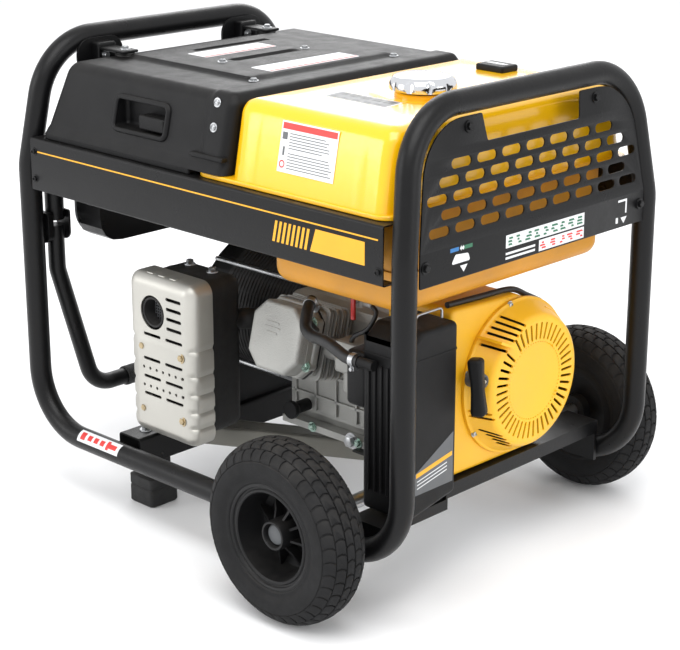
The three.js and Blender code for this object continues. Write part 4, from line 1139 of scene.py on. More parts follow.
# %% Top cover
COVER_X0, COVER_X1, COVER_Y, COVER_Z1 = -335, 50, 250, 652
COVER_DRAFT = 0.105


def mould_cover(p):
    """The cover's draft, sloping end, ledges, raised strip and plateau."""
    up = min(max((p.z - SHELF) / (COVER_Z1 - SHELF), 0), 1)
    side = ease(abs(p.y), 222, 244)
    top = ease(p.z, 645, 651)
    out = 3.2 * (1 - ease(p.z, 555, 558)) + 2.4 * (1 - ease(p.z, 547, 549)) + 3.4 * ease(p.x, 2, 6) * ease(p.z, 566, 570)
    y = p.y * (1 - COVER_DRAFT * up) + math.copysign(side * out, p.y)
    x = p.x + 35 * up * max(0, 1 - (p.x - COVER_X0) / 140)
    plateau = window(p.x, -284, -14, 5) * window(p.y, -158, 158, 5)
    slots = window(p.x, -132, -118, 2) * window(p.y, -78, 60, 2) + window(p.x, -236, -222, 2) * window(p.y, -60, 96, 2)
    z = p.z + top * (5.5 * plateau - 5 * slots + 2.5 * ease(p.x, 4, 7))
    return Vector((x, y, z))


cover = soft_block(COVER_X0, COVER_X1, -COVER_Y, COVER_Y, 500, COVER_Z1, 16, 5, mould_cover, 5)
keep_above(cover, SHELF + 7.6)
pocket = soft_block(-178, -76, -280, -218, 580, 619, 6, 30, None, 4)
cover = boolean(cover, [pocket])
piece("cover_moulding", cover, moulded_black, stands_for=["top_cover"], crease=32)

skirt = prism("z", rounded([(COVER_X0, -252, 18), (-16, -252, 3), (-16, 252, 3), (COVER_X0, 252, 18)], 5), SHELF, SHELF + 8)
piece("cover_skirt", skirt, moulded_black, bevel=1.2)


def pull_frame():
    """A rolled frame that follows the pocket's mouth on the leaning wall."""
    route = [Vector((x, -wall_y(z, COVER_Y, COVER_DRAFT) - 1.2, z)) for x, z in
             rounded(rectangle(-181, -73, 577, 622, 9), 5)]
    route.append(route[0])
    route.append(route[1])
    flat = [(3.1 * math.cos(a), 4.2 * math.sin(a)) for a in [2 * math.pi * i / 12 for i in range(12)]]
    return swept(route, flat, caps=False)


piece("finger_pull_frame", pull_frame(), moulded_black, crease=60)
flap = soft_block(-130, -78, -240, -219, 583, 603, 3, 20, None, 3)
piece("finger_pull_web", flap, moulded_black, crease=50)

for name, x, y, z in (("near_right", -8, -139, 652.2), ("far_right", -8, 139, 652.2), ("near_slot", -124, -90, 657),
                      ("far_slot", -124, 72, 657)):
    piece(f"cover_bolt_{name}", screw((x, y, z), (0, 0, 1), 4.6, 3, "button"), zinc_steel)
for side, name in ((-1, "near"), (1, "far")):
    for z in (608, 640):
        place = (20, side * (wall_y(z, COVER_Y, COVER_DRAFT) + 3), z)
        piece(f"strip_screw_{name}_{z}", screw(place, (0, side, 0.2), 4.2, 2.6, "button", 1), zinc_steel)
    lip = soft_block(-16, 48, -6, 6, 566, 573, 2.8, 12, None, 3)
    move(lip, Matrix.Translation(mm(0, side * (wall_y(570, COVER_Y, COVER_DRAFT) + 1.5), 0)))
    piece(f"tab_lip_{name}", lip, moulded_black, crease=50)

for name, x0, x1, y0, y1 in (("left", -206, -165, -83, 55), ("right", -64, -22, -92, 82)):
    piece(f"cover_label_{name}", prism("z", rounded(rectangle(x0, x1, y0, y1, 2), 3), 657.3, 657.8), film_white)
    piece(f"cover_label_band_{name}", prism("z", [(x1 - 8, y0 + 2), (x1 - 2, y0 + 2), (x1 - 2, y1 - 2), (x1 - 8, y1 - 2)],
                                            657.75, 657.9), film_red)

# %% [markdown]
# ## Cover mounts
#
# Two brackets tie the cover to the left hoop. Each one is a wing with round shoulders that stands along the
# tube, a strap folded down from the tube, and a tab on a rubber bush.

# %% Cover mounts
MOUNT_Y, HOOP_INNER = 140, -(FRAME_X - LEAN_X - TUBE)
for name, side in (("near", -1), ("far", 1)):
    y = side * MOUNT_Y
    wing = prism("x", rounded([(y - 42, 638, 6), (y + 42, 638, 6), (y + 42, 674, 24), (y - 42, 674, 24)], 8),
                 HOOP_INNER + 0.4, HOOP_INNER + 4)
    strap = soft_block(HOOP_INNER + 1, HOOP_INNER + 20, y - 16, y + 16, 640, 668, 3, 20, None, 3)
    tab = soft_block(HOOP_INNER + 2, HOOP_INNER + 73, y - 14, y + 14, 658, 662.3, 1.6, 30, None, 2)
    piece(f"cover_bracket_{name}", merge(wing, strap, tab), powder_black,
          stands_for=[f"cover_mount_{name}"], bevel=0.4)
    bush = [(13, 652.4), (13.6, 654), (12.6, 655.4), (13.6, 656.6), (13, 658.2), (0, 658.2), (0, 652.4)]
    piece(f"rubber_bush_{name}", turned(bush, "z", (HOOP_INNER + 60, y, 0), 32), foot_rubber)
    piece(f"bracket_bolt_{name}", screw((HOOP_INNER + 60, y, 662.2), (0, 0, 1), 5, 4), zinc_steel)
    piece(f"strap_bolt_{name}", screw((HOOP_INNER + 19.8, y - 4, 650), (1, 0, 0), 4.4, 3), zinc_steel)
print("mounts at y =", -MOUNT_Y, MOUNT_Y)

# %% [markdown]
# ## Muffler and guard
#
# The muffler is a black steel drum box. A pressed guard of thin silver sheet clips over its outer face. Ribs
# wrap round the guard's edges, rows of slots and holes let heat out, and a round hole clears the exhaust.
# The guard is one soft block opened at the back and given a real thickness, so the holes show depth.

# %% Muffler and guard
GUARD_X0, GUARD_X1, GUARD_FRONT, GUARD_BACK, GUARD_Z0, GUARD_Z1 = -178, -40, -235, -193, 133, 374
EXHAUST_X, EXHAUST_Z = -122, 321
RIB_LEVELS = (163, 187, 213.6, 240.5, 278)


def press_guard(p):
    """Pinches the edges in between the ribs and lifts a low panel on the face."""
    groove = sum(window(p.z, level - 3.2, level + 3.2, 2.2) for level in RIB_LEVELS)
    edge = max(ease(p.x, GUARD_X1 - 17, GUARD_X1 - 5), 1 - ease(p.x, GUARD_X0 + 5, GUARD_X0 + 17))
    pinch = 2.6 * groove * edge
    x = p.x - math.copysign(pinch, p.x - (GUARD_X0 + GUARD_X1) / 2)
    lower = window(p.z, 146, 280, 3) * window(p.x, GUARD_X0 + 20, GUARD_X1 - 20, 3)
    y = p.y + (pinch * 0.8 + 1.6 * (1 - lower)) * (1 - ease(p.y, GUARD_FRONT + 6, GUARD_FRONT + 14))
    return Vector((x, y, p.z))


def guard_holes():
    """Slots, rows of small holes and the exhaust hole as cutting tools."""
    tools = [prism("y", circle_at(EXHAUST_X, EXHAUST_Z, 25, 40), -260, -200)]
    for i in range(4):
        tools.append(prism("y", slot_outline(-77, 304 + 14.4 * i, 32, 5), -260, -200))
    for z in (287, 251, 224, 198):
        for x in (-124, -78):
            tools.append(prism("y", slot_outline(x, z, 36, 4.6), -260, -200))
    for z in (237, 210):
        for i in range(7):
            tools.append(prism("y", circle_at(-142 + 13.6 * i, z, 2.4, 12), -260, -200))
    return tools


def circle_at(u, v, radius, sides):
    return [(u + a, v + b) for a, b in circle(radius, sides)]


def open_back(mesh, y):
    """Removes everything behind a plane, leaving the cut open."""
    bmesh.ops.bisect_plane(mesh, geom=mesh.verts[:] + mesh.edges[:] + mesh.faces[:], plane_co=mm(0, y, 0),
                           plane_no=(0, 1, 0), clear_outer=True)
    return mesh


def thicken(mesh, thick):
    """Gives an open skin a real thickness, inwards."""
    bmesh.ops.recalc_face_normals(mesh, faces=mesh.faces[:])
    bmesh.ops.solidify(mesh, geom=mesh.faces[:], thickness=thick * MM)
    bmesh.ops.recalc_face_normals(mesh, faces=mesh.faces[:])
    return mesh


guard = soft_block(GUARD_X0, GUARD_X1, GUARD_FRONT, -150, GUARD_Z0, GUARD_Z1, 19, 3.4, press_guard, 5)
guard = thicken(open_back(guard, GUARD_BACK), 2)
guard = boolean(guard, guard_holes())
piece("muffler_guard_sheet", guard, guard_silver, stands_for=["muffler_guard"], crease=38)
for x in (-146, -63.5):
    for z in (267, 173):
        piece(f"guard_screw_{int(-x)}_{z}", screw((x, GUARD_FRONT + 1.4, z), (0, -1, 0), 5, 2, "hex", 1.2), brass_zinc)
for i in range(3):
    rib = soft_block(-146 + i * 24, -132 + i * 24, -222, -204, 371, 374.4, 1.6, 20, None, 2)
    piece(f"guard_top_rib_{i + 1}", rib, guard_silver)


def press_muffler(p):
    """A pressed seam round the middle of the muffler's box."""
    seam_bump = 2.2 * window(p.y, -168, -162, 1.2)
    return Vector((p.x + math.copysign(seam_bump, p.x + 109), p.y, p.z))


body = soft_block(-167, -51, -209, -126, 142, 370, 16, 8, press_muffler, 4)
piece("muffler_box", body, muffler_black, stands_for=["muffler_body"], crease=50)
outlet = [(22, 202), (22, 232), (20.5, 233), (19, 232), (19, 202)]
piece("exhaust_outlet", turned(outlet, "y", (EXHAUST_X, 0, EXHAUST_Z), 40, close=True), muffler_black)
piece("exhaust_outlet_back", turned([(21, 190), (21, 206), (0, 206)], "y", (EXHAUST_X, 0, EXHAUST_Z), 40), muffler_black)
mesh_screen = bmesh.new()
for k in range(-4, 5):
    half = math.sqrt(19 ** 2 - (4.2 * k) ** 2)
    mesh_screen = merge(mesh_screen, box((EXHAUST_X + 4.2 * k - 0.5, -213.5, EXHAUST_Z - half),
                                         (EXHAUST_X + 4.2 * k + 0.5, -212.5, EXHAUST_Z + half)),
                        box((EXHAUST_X - half, -212.5, EXHAUST_Z + 4.2 * k - 0.5),
                            (EXHAUST_X + half, -211.5, EXHAUST_Z + 4.2 * k + 0.5)))
piece("spark_screen", mesh_screen, zinc_steel, crease=20)
pipe_route = bent_route([(-66, -140, 299), (-66, -104, 299), (17.5, -104, 299)], 26, 5)
piece("exhaust_pipe", swept(pipe_route, circle(15, 28)), muffler_black, crease=60)
flange_plate = prism("x", rounded([(-134, 283, 8), (-74, 283, 8), (-74, 315, 8), (-134, 315, 8)], 5), 10, 17.5)
piece("exhaust_flange", flange_plate, muffler_black, bevel=0.8)
for i, place in enumerate(((-88, -150, 369.8), (-140, -146, 369.8))):
    piece(f"muffler_stud_{i + 1}", screw(place, (0, 0, 1), 5.5, 6), zinc_steel)

# %% [markdown]
# ## Cylinder, valve cover and crankcase
#
# The cylinder leans up towards the near side. Thin cast fins carry its heat away. The valve cover is an eight
# sided casting with a raised round-cornered face, plain embossed lines, a black gasket and four flange bolts.
# The crankcase keeps its solid, and gains ribs, a sump plug and bolts.

# %% Cylinder and valve cover
CRANK_Y, CRANK_Z = 40, 267
BORE_X, BORE_Y = 70, 20
BORE_TILT = math.radians(-14)
ALONG_BORE = Matrix.Translation(mm(BORE_X, BORE_Y, CRANK_Z)) @ Matrix.Rotation(BORE_TILT, 4, "X")


def on_bore(mesh):
    """Turns a piece made with its bore along -Y into its place on the engine."""
    return move(mesh, ALONG_BORE)


def octagon(half, cut, radius=6):
    """Eight sides about the bore, as (x, z)."""
    a, b = half, half - cut
    points = [(-a, -b), (-b, -a), (b, -a), (a, -b), (a, b), (b, a), (-b, a), (-a, b)]
    return rounded([(u, v, radius) for u, v in points], 4)


def bevelled_prism(axis, outline_of, start, end, edge):
    """A prism whose far end is rounded over in three steps. outline_of(inset) gives the outline."""
    steps = [(start, 0)] + [(end - edge * (1 - math.sin(a)), abs(edge) * (1 - math.cos(a)))
                            for a in [math.pi / 6 * k for k in range(4)]]
    mesh = bmesh.new()
    rings = []
    for place, inset in steps:
        ring = []
        for u, v in outline_of(inset):
            at = {"x": (place, u, v), "y": (u, place, v), "z": (u, v, place)}[axis]
            ring.append(mesh.verts.new(mm(*at)))
        rings.append(ring)
    for first, second in zip(rings, rings[1:]):
        for i in range(len(first)):
            k = (i + 1) % len(first)
            mesh.faces.new((first[i], first[k], second[k], second[i]))
    mesh.faces.new(rings[0][::-1])
    mesh.faces.new(rings[-1])
    bmesh.ops.recalc_face_normals(mesh, faces=mesh.faces[:])
    return mesh


fins = bmesh.new()
for i in range(8):
    y = -112 - 6.4 * i
    size = 51.5 if i % 2 else 50
    fins = merge(fins, prism("y", rounded(rectangle(-size, size, -size, size, 9), 4), y - 2.4, y))
barrel = prism("y", circle_at(0, 0, 40, 40), -166, -110.5)
head_block = prism("y", rounded(rectangle(-46, 46, -46, 46, 8), 4), -167.4, -158)
piece("cylinder", on_bore(merge(fins, barrel, head_block)), cast_alloy, stands_for=["cylinder_block"], bevel=0.5)

cover_gasket = prism("y", octagon(52.5, 21), -170, -167.8)
piece("valve_cover_gasket", on_bore(cover_gasket), hose_rubber)
skirt_part = bevelled_prism("y", lambda inset: octagon(52 - inset, 22 - inset * 0.4, 5), -170.2, -180, -3)
face_part = bevelled_prism("y", lambda inset: octagon(48 - inset, 21 - inset * 0.4, 4), -179, -207.5, -6)
lines = bmesh.new()
for k, half in ((-1, 10), (0, 15), (1, 12)):
    lines = merge(lines, prism("y", slot_outline(-6, 12 + 7 * k, 2 * half, 3), -208.4, -207))
ribs = bmesh.new()
for k in range(2):
    offset = 47.5 - 3.2 * k
    ribs = merge(ribs, box((offset - 1, -190 - 5 * k, -26), (offset + 1, -178, 26)),
                 box((-26, -190 - 5 * k, -offset - 1), (26, -178, -offset + 1)))
piece("valve_cover_casting", on_bore(merge(skirt_part, face_part, lines, ribs)), cast_alloy,
      stands_for=["valve_cover"], bevel=0.4)
for i, (u, v) in enumerate(((-46, 30), (46, 30), (-46, -30), (46, -30))):
    boss = turned([(0, 170.3), (6.4, 170.3), (6, 184), (0, 184)], "y", (u, 0, v), 24)
    piece(f"valve_cover_boss_{i + 1}", on_bore(boss), cast_alloy)
    piece(f"valve_cover_bolt_{i + 1}", on_bore(screw((u, -184, v), (0, -1, 0), 5.4, 4.5, "hex", 1.6)), green_zinc)
plug_wire = smooth_route([(112, -158, 372), (122, -172, 360), (132, -168, 344), (118, -146, 330)], 8)
piece("plug_lead", swept(plug_wire, circle(3.4, 14)), hose_rubber, crease=60)

# %% Crankcase fittings
def refinish(node, material):
    """Keeps a solid's own shape and gives it a worked finish."""
    made = bpy.data.objects[node]
    made.data.materials.clear()
    made.data.materials.append(material)


refinish("crankcase", cast_alloy)
case_ribs = bmesh.new()
for i in range(5):
    x = 4 + i * 40
    case_ribs = merge(case_ribs, box((x, -79, 176), (x + 4, -74.6, 236)))
case_ribs = merge(case_ribs, box((0, -79, 196), (170, -74.6, 200)), box((0, -79, 232), (170, -74.6, 236)))
piece("crankcase_ribs", case_ribs, cast_alloy, bevel=0.6)
piece("sump_plug", screw((128, -88.2, 155), (0, -1, 0), 8, 8, "hex", 2), zinc_steel)
filler = [(0, 120), (13, 120), (13.6, 116), (12, 112), (9, 108), (9, 84), (0, 84)]
piece("oil_filler", turned([(r, h) for r, h in reversed(filler)], "y", (36, 0, 185), 32), moulded_black)
for i in range(2):
    piece(f"case_bolt_{i + 1}", screw((50 + 90 * i, -88.2, 155), (0, -1, 0), 5, 4), green_zinc)
print("engine pieces added")

# %% [markdown]
# ## Fan shroud and recoil cover
#
# The shroud is pressed yellow sheet with a rolled front edge. The recoil cover is a deep dish with a slotted
# face: a ring of radial slots, a ring of dimples, and groups of slots and lines pressed into the slope.
# Each hole is cut through a real wall, and a black disc at the back of the hollow dish is painted shade for the dark
# inside.

# %% Fan shroud and recoil cover
SHROUD_CORNERS = [(-92, 152, 10), (104, 150, 30), (153, 196, 30), (153, 306, 30), (108, 352, 20), (44, 381, 20),
                  (-92, 388, 10)]
SHROUD_X0, SHROUD_X1 = 200, 311.7


def shroud_outline(inset):
    """The shroud's outline, pulled in towards its middle."""
    middle_y, middle_z = 30, 270
    points = []
    for y, z, radius in SHROUD_CORNERS:
        points.append((y - math.copysign(inset, y - middle_y), z - math.copysign(inset, z - middle_z), radius))
    return rounded(points, 6)


shroud_skin = bevelled_prism("x", shroud_outline, SHROUD_X0, SHROUD_X1, 6)
hollow = prism("x", shroud_outline(2.6), SHROUD_X0 - 5, SHROUD_X1 - 6)
mouth = prism("x", [(CRANK_Y + a, CRANK_Z + b) for a, b in circle(96, 64)], SHROUD_X1 - 12, SHROUD_X1 + 4)
piece("shroud_sheet", boolean(shroud_skin, [hollow, mouth]), shroud_yellow, stands_for=["fan_shroud"],
      crease=40)
strip_route = [(SHROUD_X1 - 14, y, z) for y, z in ((-86, 391.5), (-20, 388.5), (44, 385), (80, 369), (110, 354))]
piece("shroud_edge_strip", swept(smooth_route(strip_route, 6), circle(4.2, 14)), hose_rubber, crease=60)

DISH = [(0, 312), (110, 312), (110.6, 314), (110, 316.4), (107.6, 317.4), (105.4, 319), (94.5, 342), (92.4, 345.6),
        (89, 348.2), (84.5, 349), (57, 349), (54.5, 348.2), (52, 347.6), (0, 347.6)]
inside = [(0, 300), (101, 300), (101.4, 318), (90, 342), (87.4, 345.4), (84, 346.2), (0, 346.2)]
dish = turned(DISH, "x", (0, CRANK_Y, CRANK_Z), 128)
hollow_dish = turned(inside, "x", (0, CRANK_Y, CRANK_Z), 96)


def radial_tools():
    """Forty-four radial slots and a ring of dimples."""
    tools = bmesh.new()
    for i in range(44):
        turn = Matrix.Rotation(2 * math.pi * i / 44, 4, "X")
        slot = prism("x", rounded(rectangle(-1.9, 1.9, 58, 82, 1.7), 3), 340, 352)
        tools = merge(tools, move(slot, turn))
    for i in range(66):
        turn = Matrix.Rotation(2 * math.pi * i / 66, 4, "X")
        dimple = prism("x", [(a, 54.3 + b) for a, b in circle(1.0, 6)], 346.9, 352)
        tools = merge(tools, move(dimple, turn))
    return move(tools, Matrix.Translation(mm(0, CRANK_Y, CRANK_Z)))


def slope_slot(y0, z0, y1, z1, width, depth=(318, 360)):
    """A slot cut straight in from the right, between two points of the slope."""
    length = math.hypot(y1 - y0, z1 - z0)
    outline = [(length / 2 * a, b) for a, b in ((-1, -width / 2), (1, -width / 2), (1, width / 2), (-1, width / 2))]
    angle = math.atan2(z1 - z0, y1 - y0)
    return prism("x", [((y0 + y1) / 2 + u * math.cos(angle) - v * math.sin(angle),
                        (z0 + z1) / 2 + u * math.sin(angle) + v * math.cos(angle)) for u, v in outline], *depth)


slope_tools = [radial_tools()]
for k in range(6):
    slope_tools.append(slope_slot(-13 - 8.6 * k, 368 - 6 * k, 17 - 7.6 * k, 350 - 5.4 * k, 3.6))
slope_tools.append(slope_slot(-66, 244, -47, 240, 3.4))
slope_tools.append(slope_slot(-63, 236, -42, 232, 3.4))
for k in range(4):
    slope_tools.append(slope_slot(-48 + 9 * k, 214 - 8 * k, -24 + 9 * k, 203 - 8 * k, 2.2))
dish = boolean(boolean(dish, [hollow_dish]), slope_tools)
piece("recoil_cover_pressing", dish, shroud_yellow, stands_for=["recoil_cover"], crease=36)
for k in range(2):
    angle0, angle1 = math.radians(38), math.radians(66)
    radius = 100 - 4.5 * k
    arc = [(330 + 7.5 * k, CRANK_Y + radius * math.cos(a), CRANK_Z + radius * math.sin(a))
           for a in [angle0 + (angle1 - angle0) * t / 8 for t in range(9)]]
    piece(f"slope_line_{k + 1}", swept([Vector(p) for p in arc], circle(1.3, 8)), shroud_yellow)
for i, degrees in enumerate((25, 100, 165, 215, 280, 335)):
    a = math.radians(degrees)
    spot = (316, CRANK_Y + 106.5 * math.cos(a), CRANK_Z + 106.5 * math.sin(a))
    piece(f"cover_screw_{i + 1}", screw(spot, (1, 0, 0), 3.6, 3, "button", 0.8), zinc_steel)
# A black disc at the back of the dish: painted shade, so the slots read dark.
piece("dark_screen", turned([(101, 313), (101, 314), (0, 314)], "x", (0, CRANK_Y, CRANK_Z), 48), moulded_black)
EYE = Vector((346, -64, 291))
eye_profile = [(5, 322), (12, 322), (11.4, 340), (9.4, 345.4), (7.6, 346), (6, 344.6), (5, 341)]
piece("rope_guide", turned(eye_profile, "x", (0, EYE.y, EYE.z), 36, close=True), grey_moulded)

# %% [markdown]
# ## Starter grip and rope
#
# The grip is a moulded T handle with a flat back and soft edges, pulled on a braided rope. The rope rides on
# no body of its own; it runs from inside the guide out towards the grip.

# %% Starter grip and rope
PULL = Vector((0.4, -0.9165, 0))
GRIP_REACH, GRIP_RISE, GRIP_TILT = 31, 4, 0.09


def grip_shape(p):
    """Waists the handle in the middle and rounds its ends."""
    waist = 1 - 0.10 * math.cos(math.pi * min(abs(p.z) / 40, 1)) - 0.05
    return Vector((p.x * waist, p.y * waist, p.z))


bar = soft_block(-8.5, 10.5, -10, 10, -39.5, 39.5, 6, 6, grip_shape, 4)
stem = soft_block(-19, -4, -5.5, 5.5, -8, 5, 3, 20, None, 3)
TO_GRIP = Matrix.Translation((EYE + PULL * GRIP_REACH + Vector((0, 0, GRIP_RISE))) * MM)
yaw = math.atan2(PULL.y, PULL.x)
TO_GRIP = TO_GRIP @ Matrix.Rotation(yaw, 4, "Z") @ Matrix.Rotation(GRIP_TILT, 4, "X")
piece("starter_handle", move(merge(bar, stem), TO_GRIP), moulded_black, "starter_pull",
      ["starter_grip"], crease=50)


def rope_mesh(start, end, radius, steps=14, sides=24):
    """A laid rope: four strands that turn slowly along its length."""
    way = end - start
    across = way.cross(Vector((0, 0, 1))).normalized()
    over = across.cross(way).normalized()
    mesh = bmesh.new()
    rings = []
    for k in range(steps + 1):
        centre = start + way * k / steps
        ring = []
        for i in range(sides):
            a = 2 * math.pi * i / sides
            r = radius * (1 - 0.16 * abs(math.sin(2 * a + 0.5 * k)))
            ring.append(mesh.verts.new((centre + across * r * math.cos(a) + over * r * math.sin(a)) * MM))
        rings.append(ring)
    for first, second in zip(rings, rings[1:]):
        for i in range(sides):
            mesh.faces.new((first[i], first[(i + 1) % sides], second[(i + 1) % sides], second[i]))
    mesh.faces.new(rings[0][::-1])
    mesh.faces.new(rings[-1])
    bmesh.ops.recalc_face_normals(mesh, faces=mesh.faces[:])
    return mesh


rope_start, rope_end = EYE - PULL * 2, EYE + PULL * 12.5
rope = piece("starter_cord", rope_mesh(rope_start, rope_end, 2.5), cord_nylon, None, ["starter_rope"],
             crease=60)
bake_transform(rope)
print("grip centre:", [round(v) for v in EYE + PULL * GRIP_REACH])

# %% [markdown]
# ## Air cleaner, carburettor and fuel tap
#
# The air cleaner is a tall black moulding with ribs down its near face and a wire bail on its lid. The
# carburettor hides behind it and is seen only as cast metal with a brass-coloured bowl screw. A ribbed hose
# with two clamps brings the engine's breather air to the case.

# %% Air cleaner
CASE_X0, CASE_X1, CASE_Y0, CASE_Y1, CASE_Z0, CASE_Z1 = 257, 340, -205, -110, 128, 386


def mould_case(p):
    """Slopes the bottom and the near top edge, and lifts a rim round the lid."""
    low = 1 - ease(p.z, CASE_Z0 + 4, CASE_Z0 + 40)
    z = p.z + low * (2 + 18 * (p.y - CASE_Y0) / (CASE_Y1 - CASE_Y0))
    drop = max(0.0, (CASE_Y0 + 26) - p.y) * 0.8 * ease(p.z, CASE_Z1 - 14, CASE_Z1 - 4)
    parting = 1.3 * window(p.z, 344, 347, 1.5)
    shift = Vector((math.copysign(parting, p.x - 298), math.copysign(parting, p.y + 157), 0))
    return Vector((p.x, p.y, z - drop)) - shift


case = soft_block(CASE_X0, CASE_X1, CASE_Y0, CASE_Y1, CASE_Z0, CASE_Z1, 8, 6, mould_case, 4)
duct = soft_block(227, 266, CASE_Y0, -154, 268, 345, 8, 12, None, 3)
piece("air_cleaner_moulding", merge(case, duct), moulded_black, stands_for=["air_cleaner_case"],
      crease=45)
near_ribs = bmesh.new()
for i in range(6):
    x = CASE_X0 + 14 + i * 11
    near_ribs = merge(near_ribs, soft_block(x - 1.6, x + 1.6, CASE_Y0 - 2.6, CASE_Y0 + 3, 160, 336, 1.2, 60, None, 2))
piece("air_cleaner_ribs", near_ribs, moulded_black, crease=60)
lid_seam = rounded(rectangle(CASE_X0 - 1.2, CASE_X1 + 0.6, CASE_Y0 - 1.2, CASE_Y1 + 1, 8), 5)
piece("air_cleaner_lid_seam", prism("z", lid_seam, 347.5, 350), moulded_black, bevel=0.6)
tag_z0, tag_z1 = 166, 236
piece("case_label", prism("x", [(-192, tag_z0), (-118, tag_z0), (-118, tag_z1), (-192, tag_z1 - 40)], CASE_X1,
                          CASE_X1 + 0.25), film_grey)
piece("case_label_bar", prism("x", [(-190, 190), (-120, 203), (-120, 209), (-190, 196)], CASE_X1 + 0.2, CASE_X1 + 0.4),
      film_yellow)
case_lines = bmesh.new()
for i in range(3):
    case_lines = merge(case_lines, prism("x", [(-188, 184 - 5 * i), (-130, 195 - 5 * i), (-130, 196.4 - 5 * i),
                                               (-188, 185.4 - 5 * i)], CASE_X1 + 0.2, CASE_X1 + 0.4))
piece("case_label_lines", case_lines, film_white, crease=20)

HOSE = [(112, -150, 372), (126, -172, 366), (140, -190, 350), (162, -200, 345), (196, -207, 346), (238, -214, 337.5),
        (261.5, -214, 337)]
piece("breather_tube", swept(smooth_route(HOSE, 8), circle(8, 28)), hose_rubber, stands_for=["breather_hose"],
      crease=60)


def hose_clamp(name, place, way, radius):
    """A worm clamp: a band with a raised screw box."""
    band = turned([(radius, -4), (radius + 1.1, -4), (radius + 1.1, 4), (radius, 4)], "z", close=True, sides=36)
    box_part = box((radius + 0.6, -4, -3.4), (radius + 6, 4, 3.4))
    worm = turned([(0, -7), (2.6, -7), (2.6, 7), (0, 7)], "z", sides=16)
    worm = move(worm, Matrix.Translation(mm(radius + 3.6, 0, 0)) @ Matrix.Rotation(math.radians(90), 4, "X"))
    turn = Vector((0, 0, 1)).rotation_difference(Vector(way).normalized()).to_matrix().to_4x4()
    piece(name, move(merge(band, box_part, worm), Matrix.Translation(mm(*place)) @ turn), zinc_steel, bevel=0.2)


hose_clamp("hose_clamp_engine", (117.5, -159, 370.3), (14, -22, -5), 8.1)
hose_clamp("hose_clamp_case", (252, -214, 337.1), (1, 0, 0), 8.1)
stub = [(0, 262.3), (7, 262.3), (7.6, 264), (7, 266), (7, 288), (0, 288)]
piece("case_stub", turned(stub, "x", (0, -214, 337), 28), moulded_black)

wire_top = [(322, -174, 388.6), (322, -174, 402.6), (322, -124, 402.6), (322, -124, 388.6)]
piece("bail_wire", swept(bent_route([Vector(p) for p in wire_top], 6, 2), circle(1.7, 16)), zinc_steel, "bail",
      ["air_cleaner_bail"], crease=60)

refinish("carburettor", cast_alloy)
piece("bowl_screw", screw((172, -124, 252.4), (0, 0, -1), 6, 5, "hex", 1.2), brass_zinc)
piece("throttle_screw", screw((160, -146.1, 304), (0, -1, 0), 3.4, 5, "button", 1), brass_zinc)
refinish("choke_lever", zinc_steel)
refinish("fuel_tap_body", cast_alloy)
lever = soft_block(178.3, 185.7, -144.8, -140.4, 358.2, 389.8, 1.8, 12, None, 3)
piece("tap_lever_blade", lever, red_moulded, "tap_lever", ["fuel_tap_lever"], crease=50)
fuel_line = smooth_route([(200, -128, 380), (214, -132, 372), (206, -140, 350), (184, -142, 336), (172, -136, 322)], 8)
piece("fuel_line", swept(fuel_line, circle(3.2, 14)), hose_rubber, crease=60)
print("air cleaner at x", CASE_X0, "to", CASE_X1)

# %% [markdown]
# ## Folding handle
#
# The handle is a bent tube with a foam grip, hung in two brackets. Each bracket has cheeks either side of the
# tube and a pivot bolt. The foam is a soft sleeve.

# %% Folding handle
HANDLE_X, HANDLE_Y, PIVOT_Z = -369, 208, 388
corners = [Vector(p) for p in ((HANDLE_X, -HANDLE_Y, 398), (HANDLE_X, -HANDLE_Y, 330), (HANDLE_X, -150, 128),
                               (HANDLE_X, 150, 128), (HANDLE_X, HANDLE_Y, 330), (HANDLE_X, HANDLE_Y, 398))]
piece("handle_bent_tube", swept(bent_route(corners, 45, 5), circle(12.7, 32)), powder_black, "handle",
      ["handle_tube"], crease=60)
sleeve = [(13.1, -90), (15, -89.6), (15.5, -87)] + [(15.5 - 0.35 * (i % 2), -84 + 6 * i) for i in range(29)]
sleeve += [(15.5, 87), (15, 89.6), (13.1, 90)]
grip = piece("handle_foam", turned(sleeve, "y", (HANDLE_X, 0, 128), 40, close=True), grip_foam, "handle",
             ["handle_grip"], crease=80)

for name, side in (("near", -1), ("far", 1)):
    y = side * HANDLE_Y
    stub = turned([(13.9, PIVOT_Z + 19), (13.9, 463.6), (0, 463.6), (0, PIVOT_Z + 19)][::-1], "z", (HANDLE_X, y, 0), 28)
    cheeks = bmesh.new()
    for near, far in ((-17, -14), (14, 23.6)):
        lo, hi = sorted((y + side * near, y + side * far))
        outline = rounded([(HANDLE_X - 15.4, PIVOT_Z - 14, 13), (HANDLE_X + 15.4, PIVOT_Z - 14, 13),
                           (HANDLE_X + 15.4, PIVOT_Z + 32, 4), (HANDLE_X - 15.4, PIVOT_Z + 32, 4)], 6)
        cheeks = merge(cheeks, prism("y", outline, lo, hi))
    piece(f"handle_bracket_{name}_cheeks", merge(stub, cheeks), powder_black,
          stands_for=[f"handle_bracket_{name}"], bevel=0.6)
    piece(f"handle_pivot_bolt_{name}", screw((HANDLE_X, y - side * 17.1, PIVOT_Z), (0, -side, 0), 6, 4), zinc_steel)
print("handle pivots at z", PIVOT_Z)

# %% [markdown]
# ## Control box and panel
#
# The left end carries the controls: a grey faceplate with two welding sockets, two hinged outlet lids, a
# current knob, a key switch and a breaker. The markings are plain arcs, ticks and blank labels.

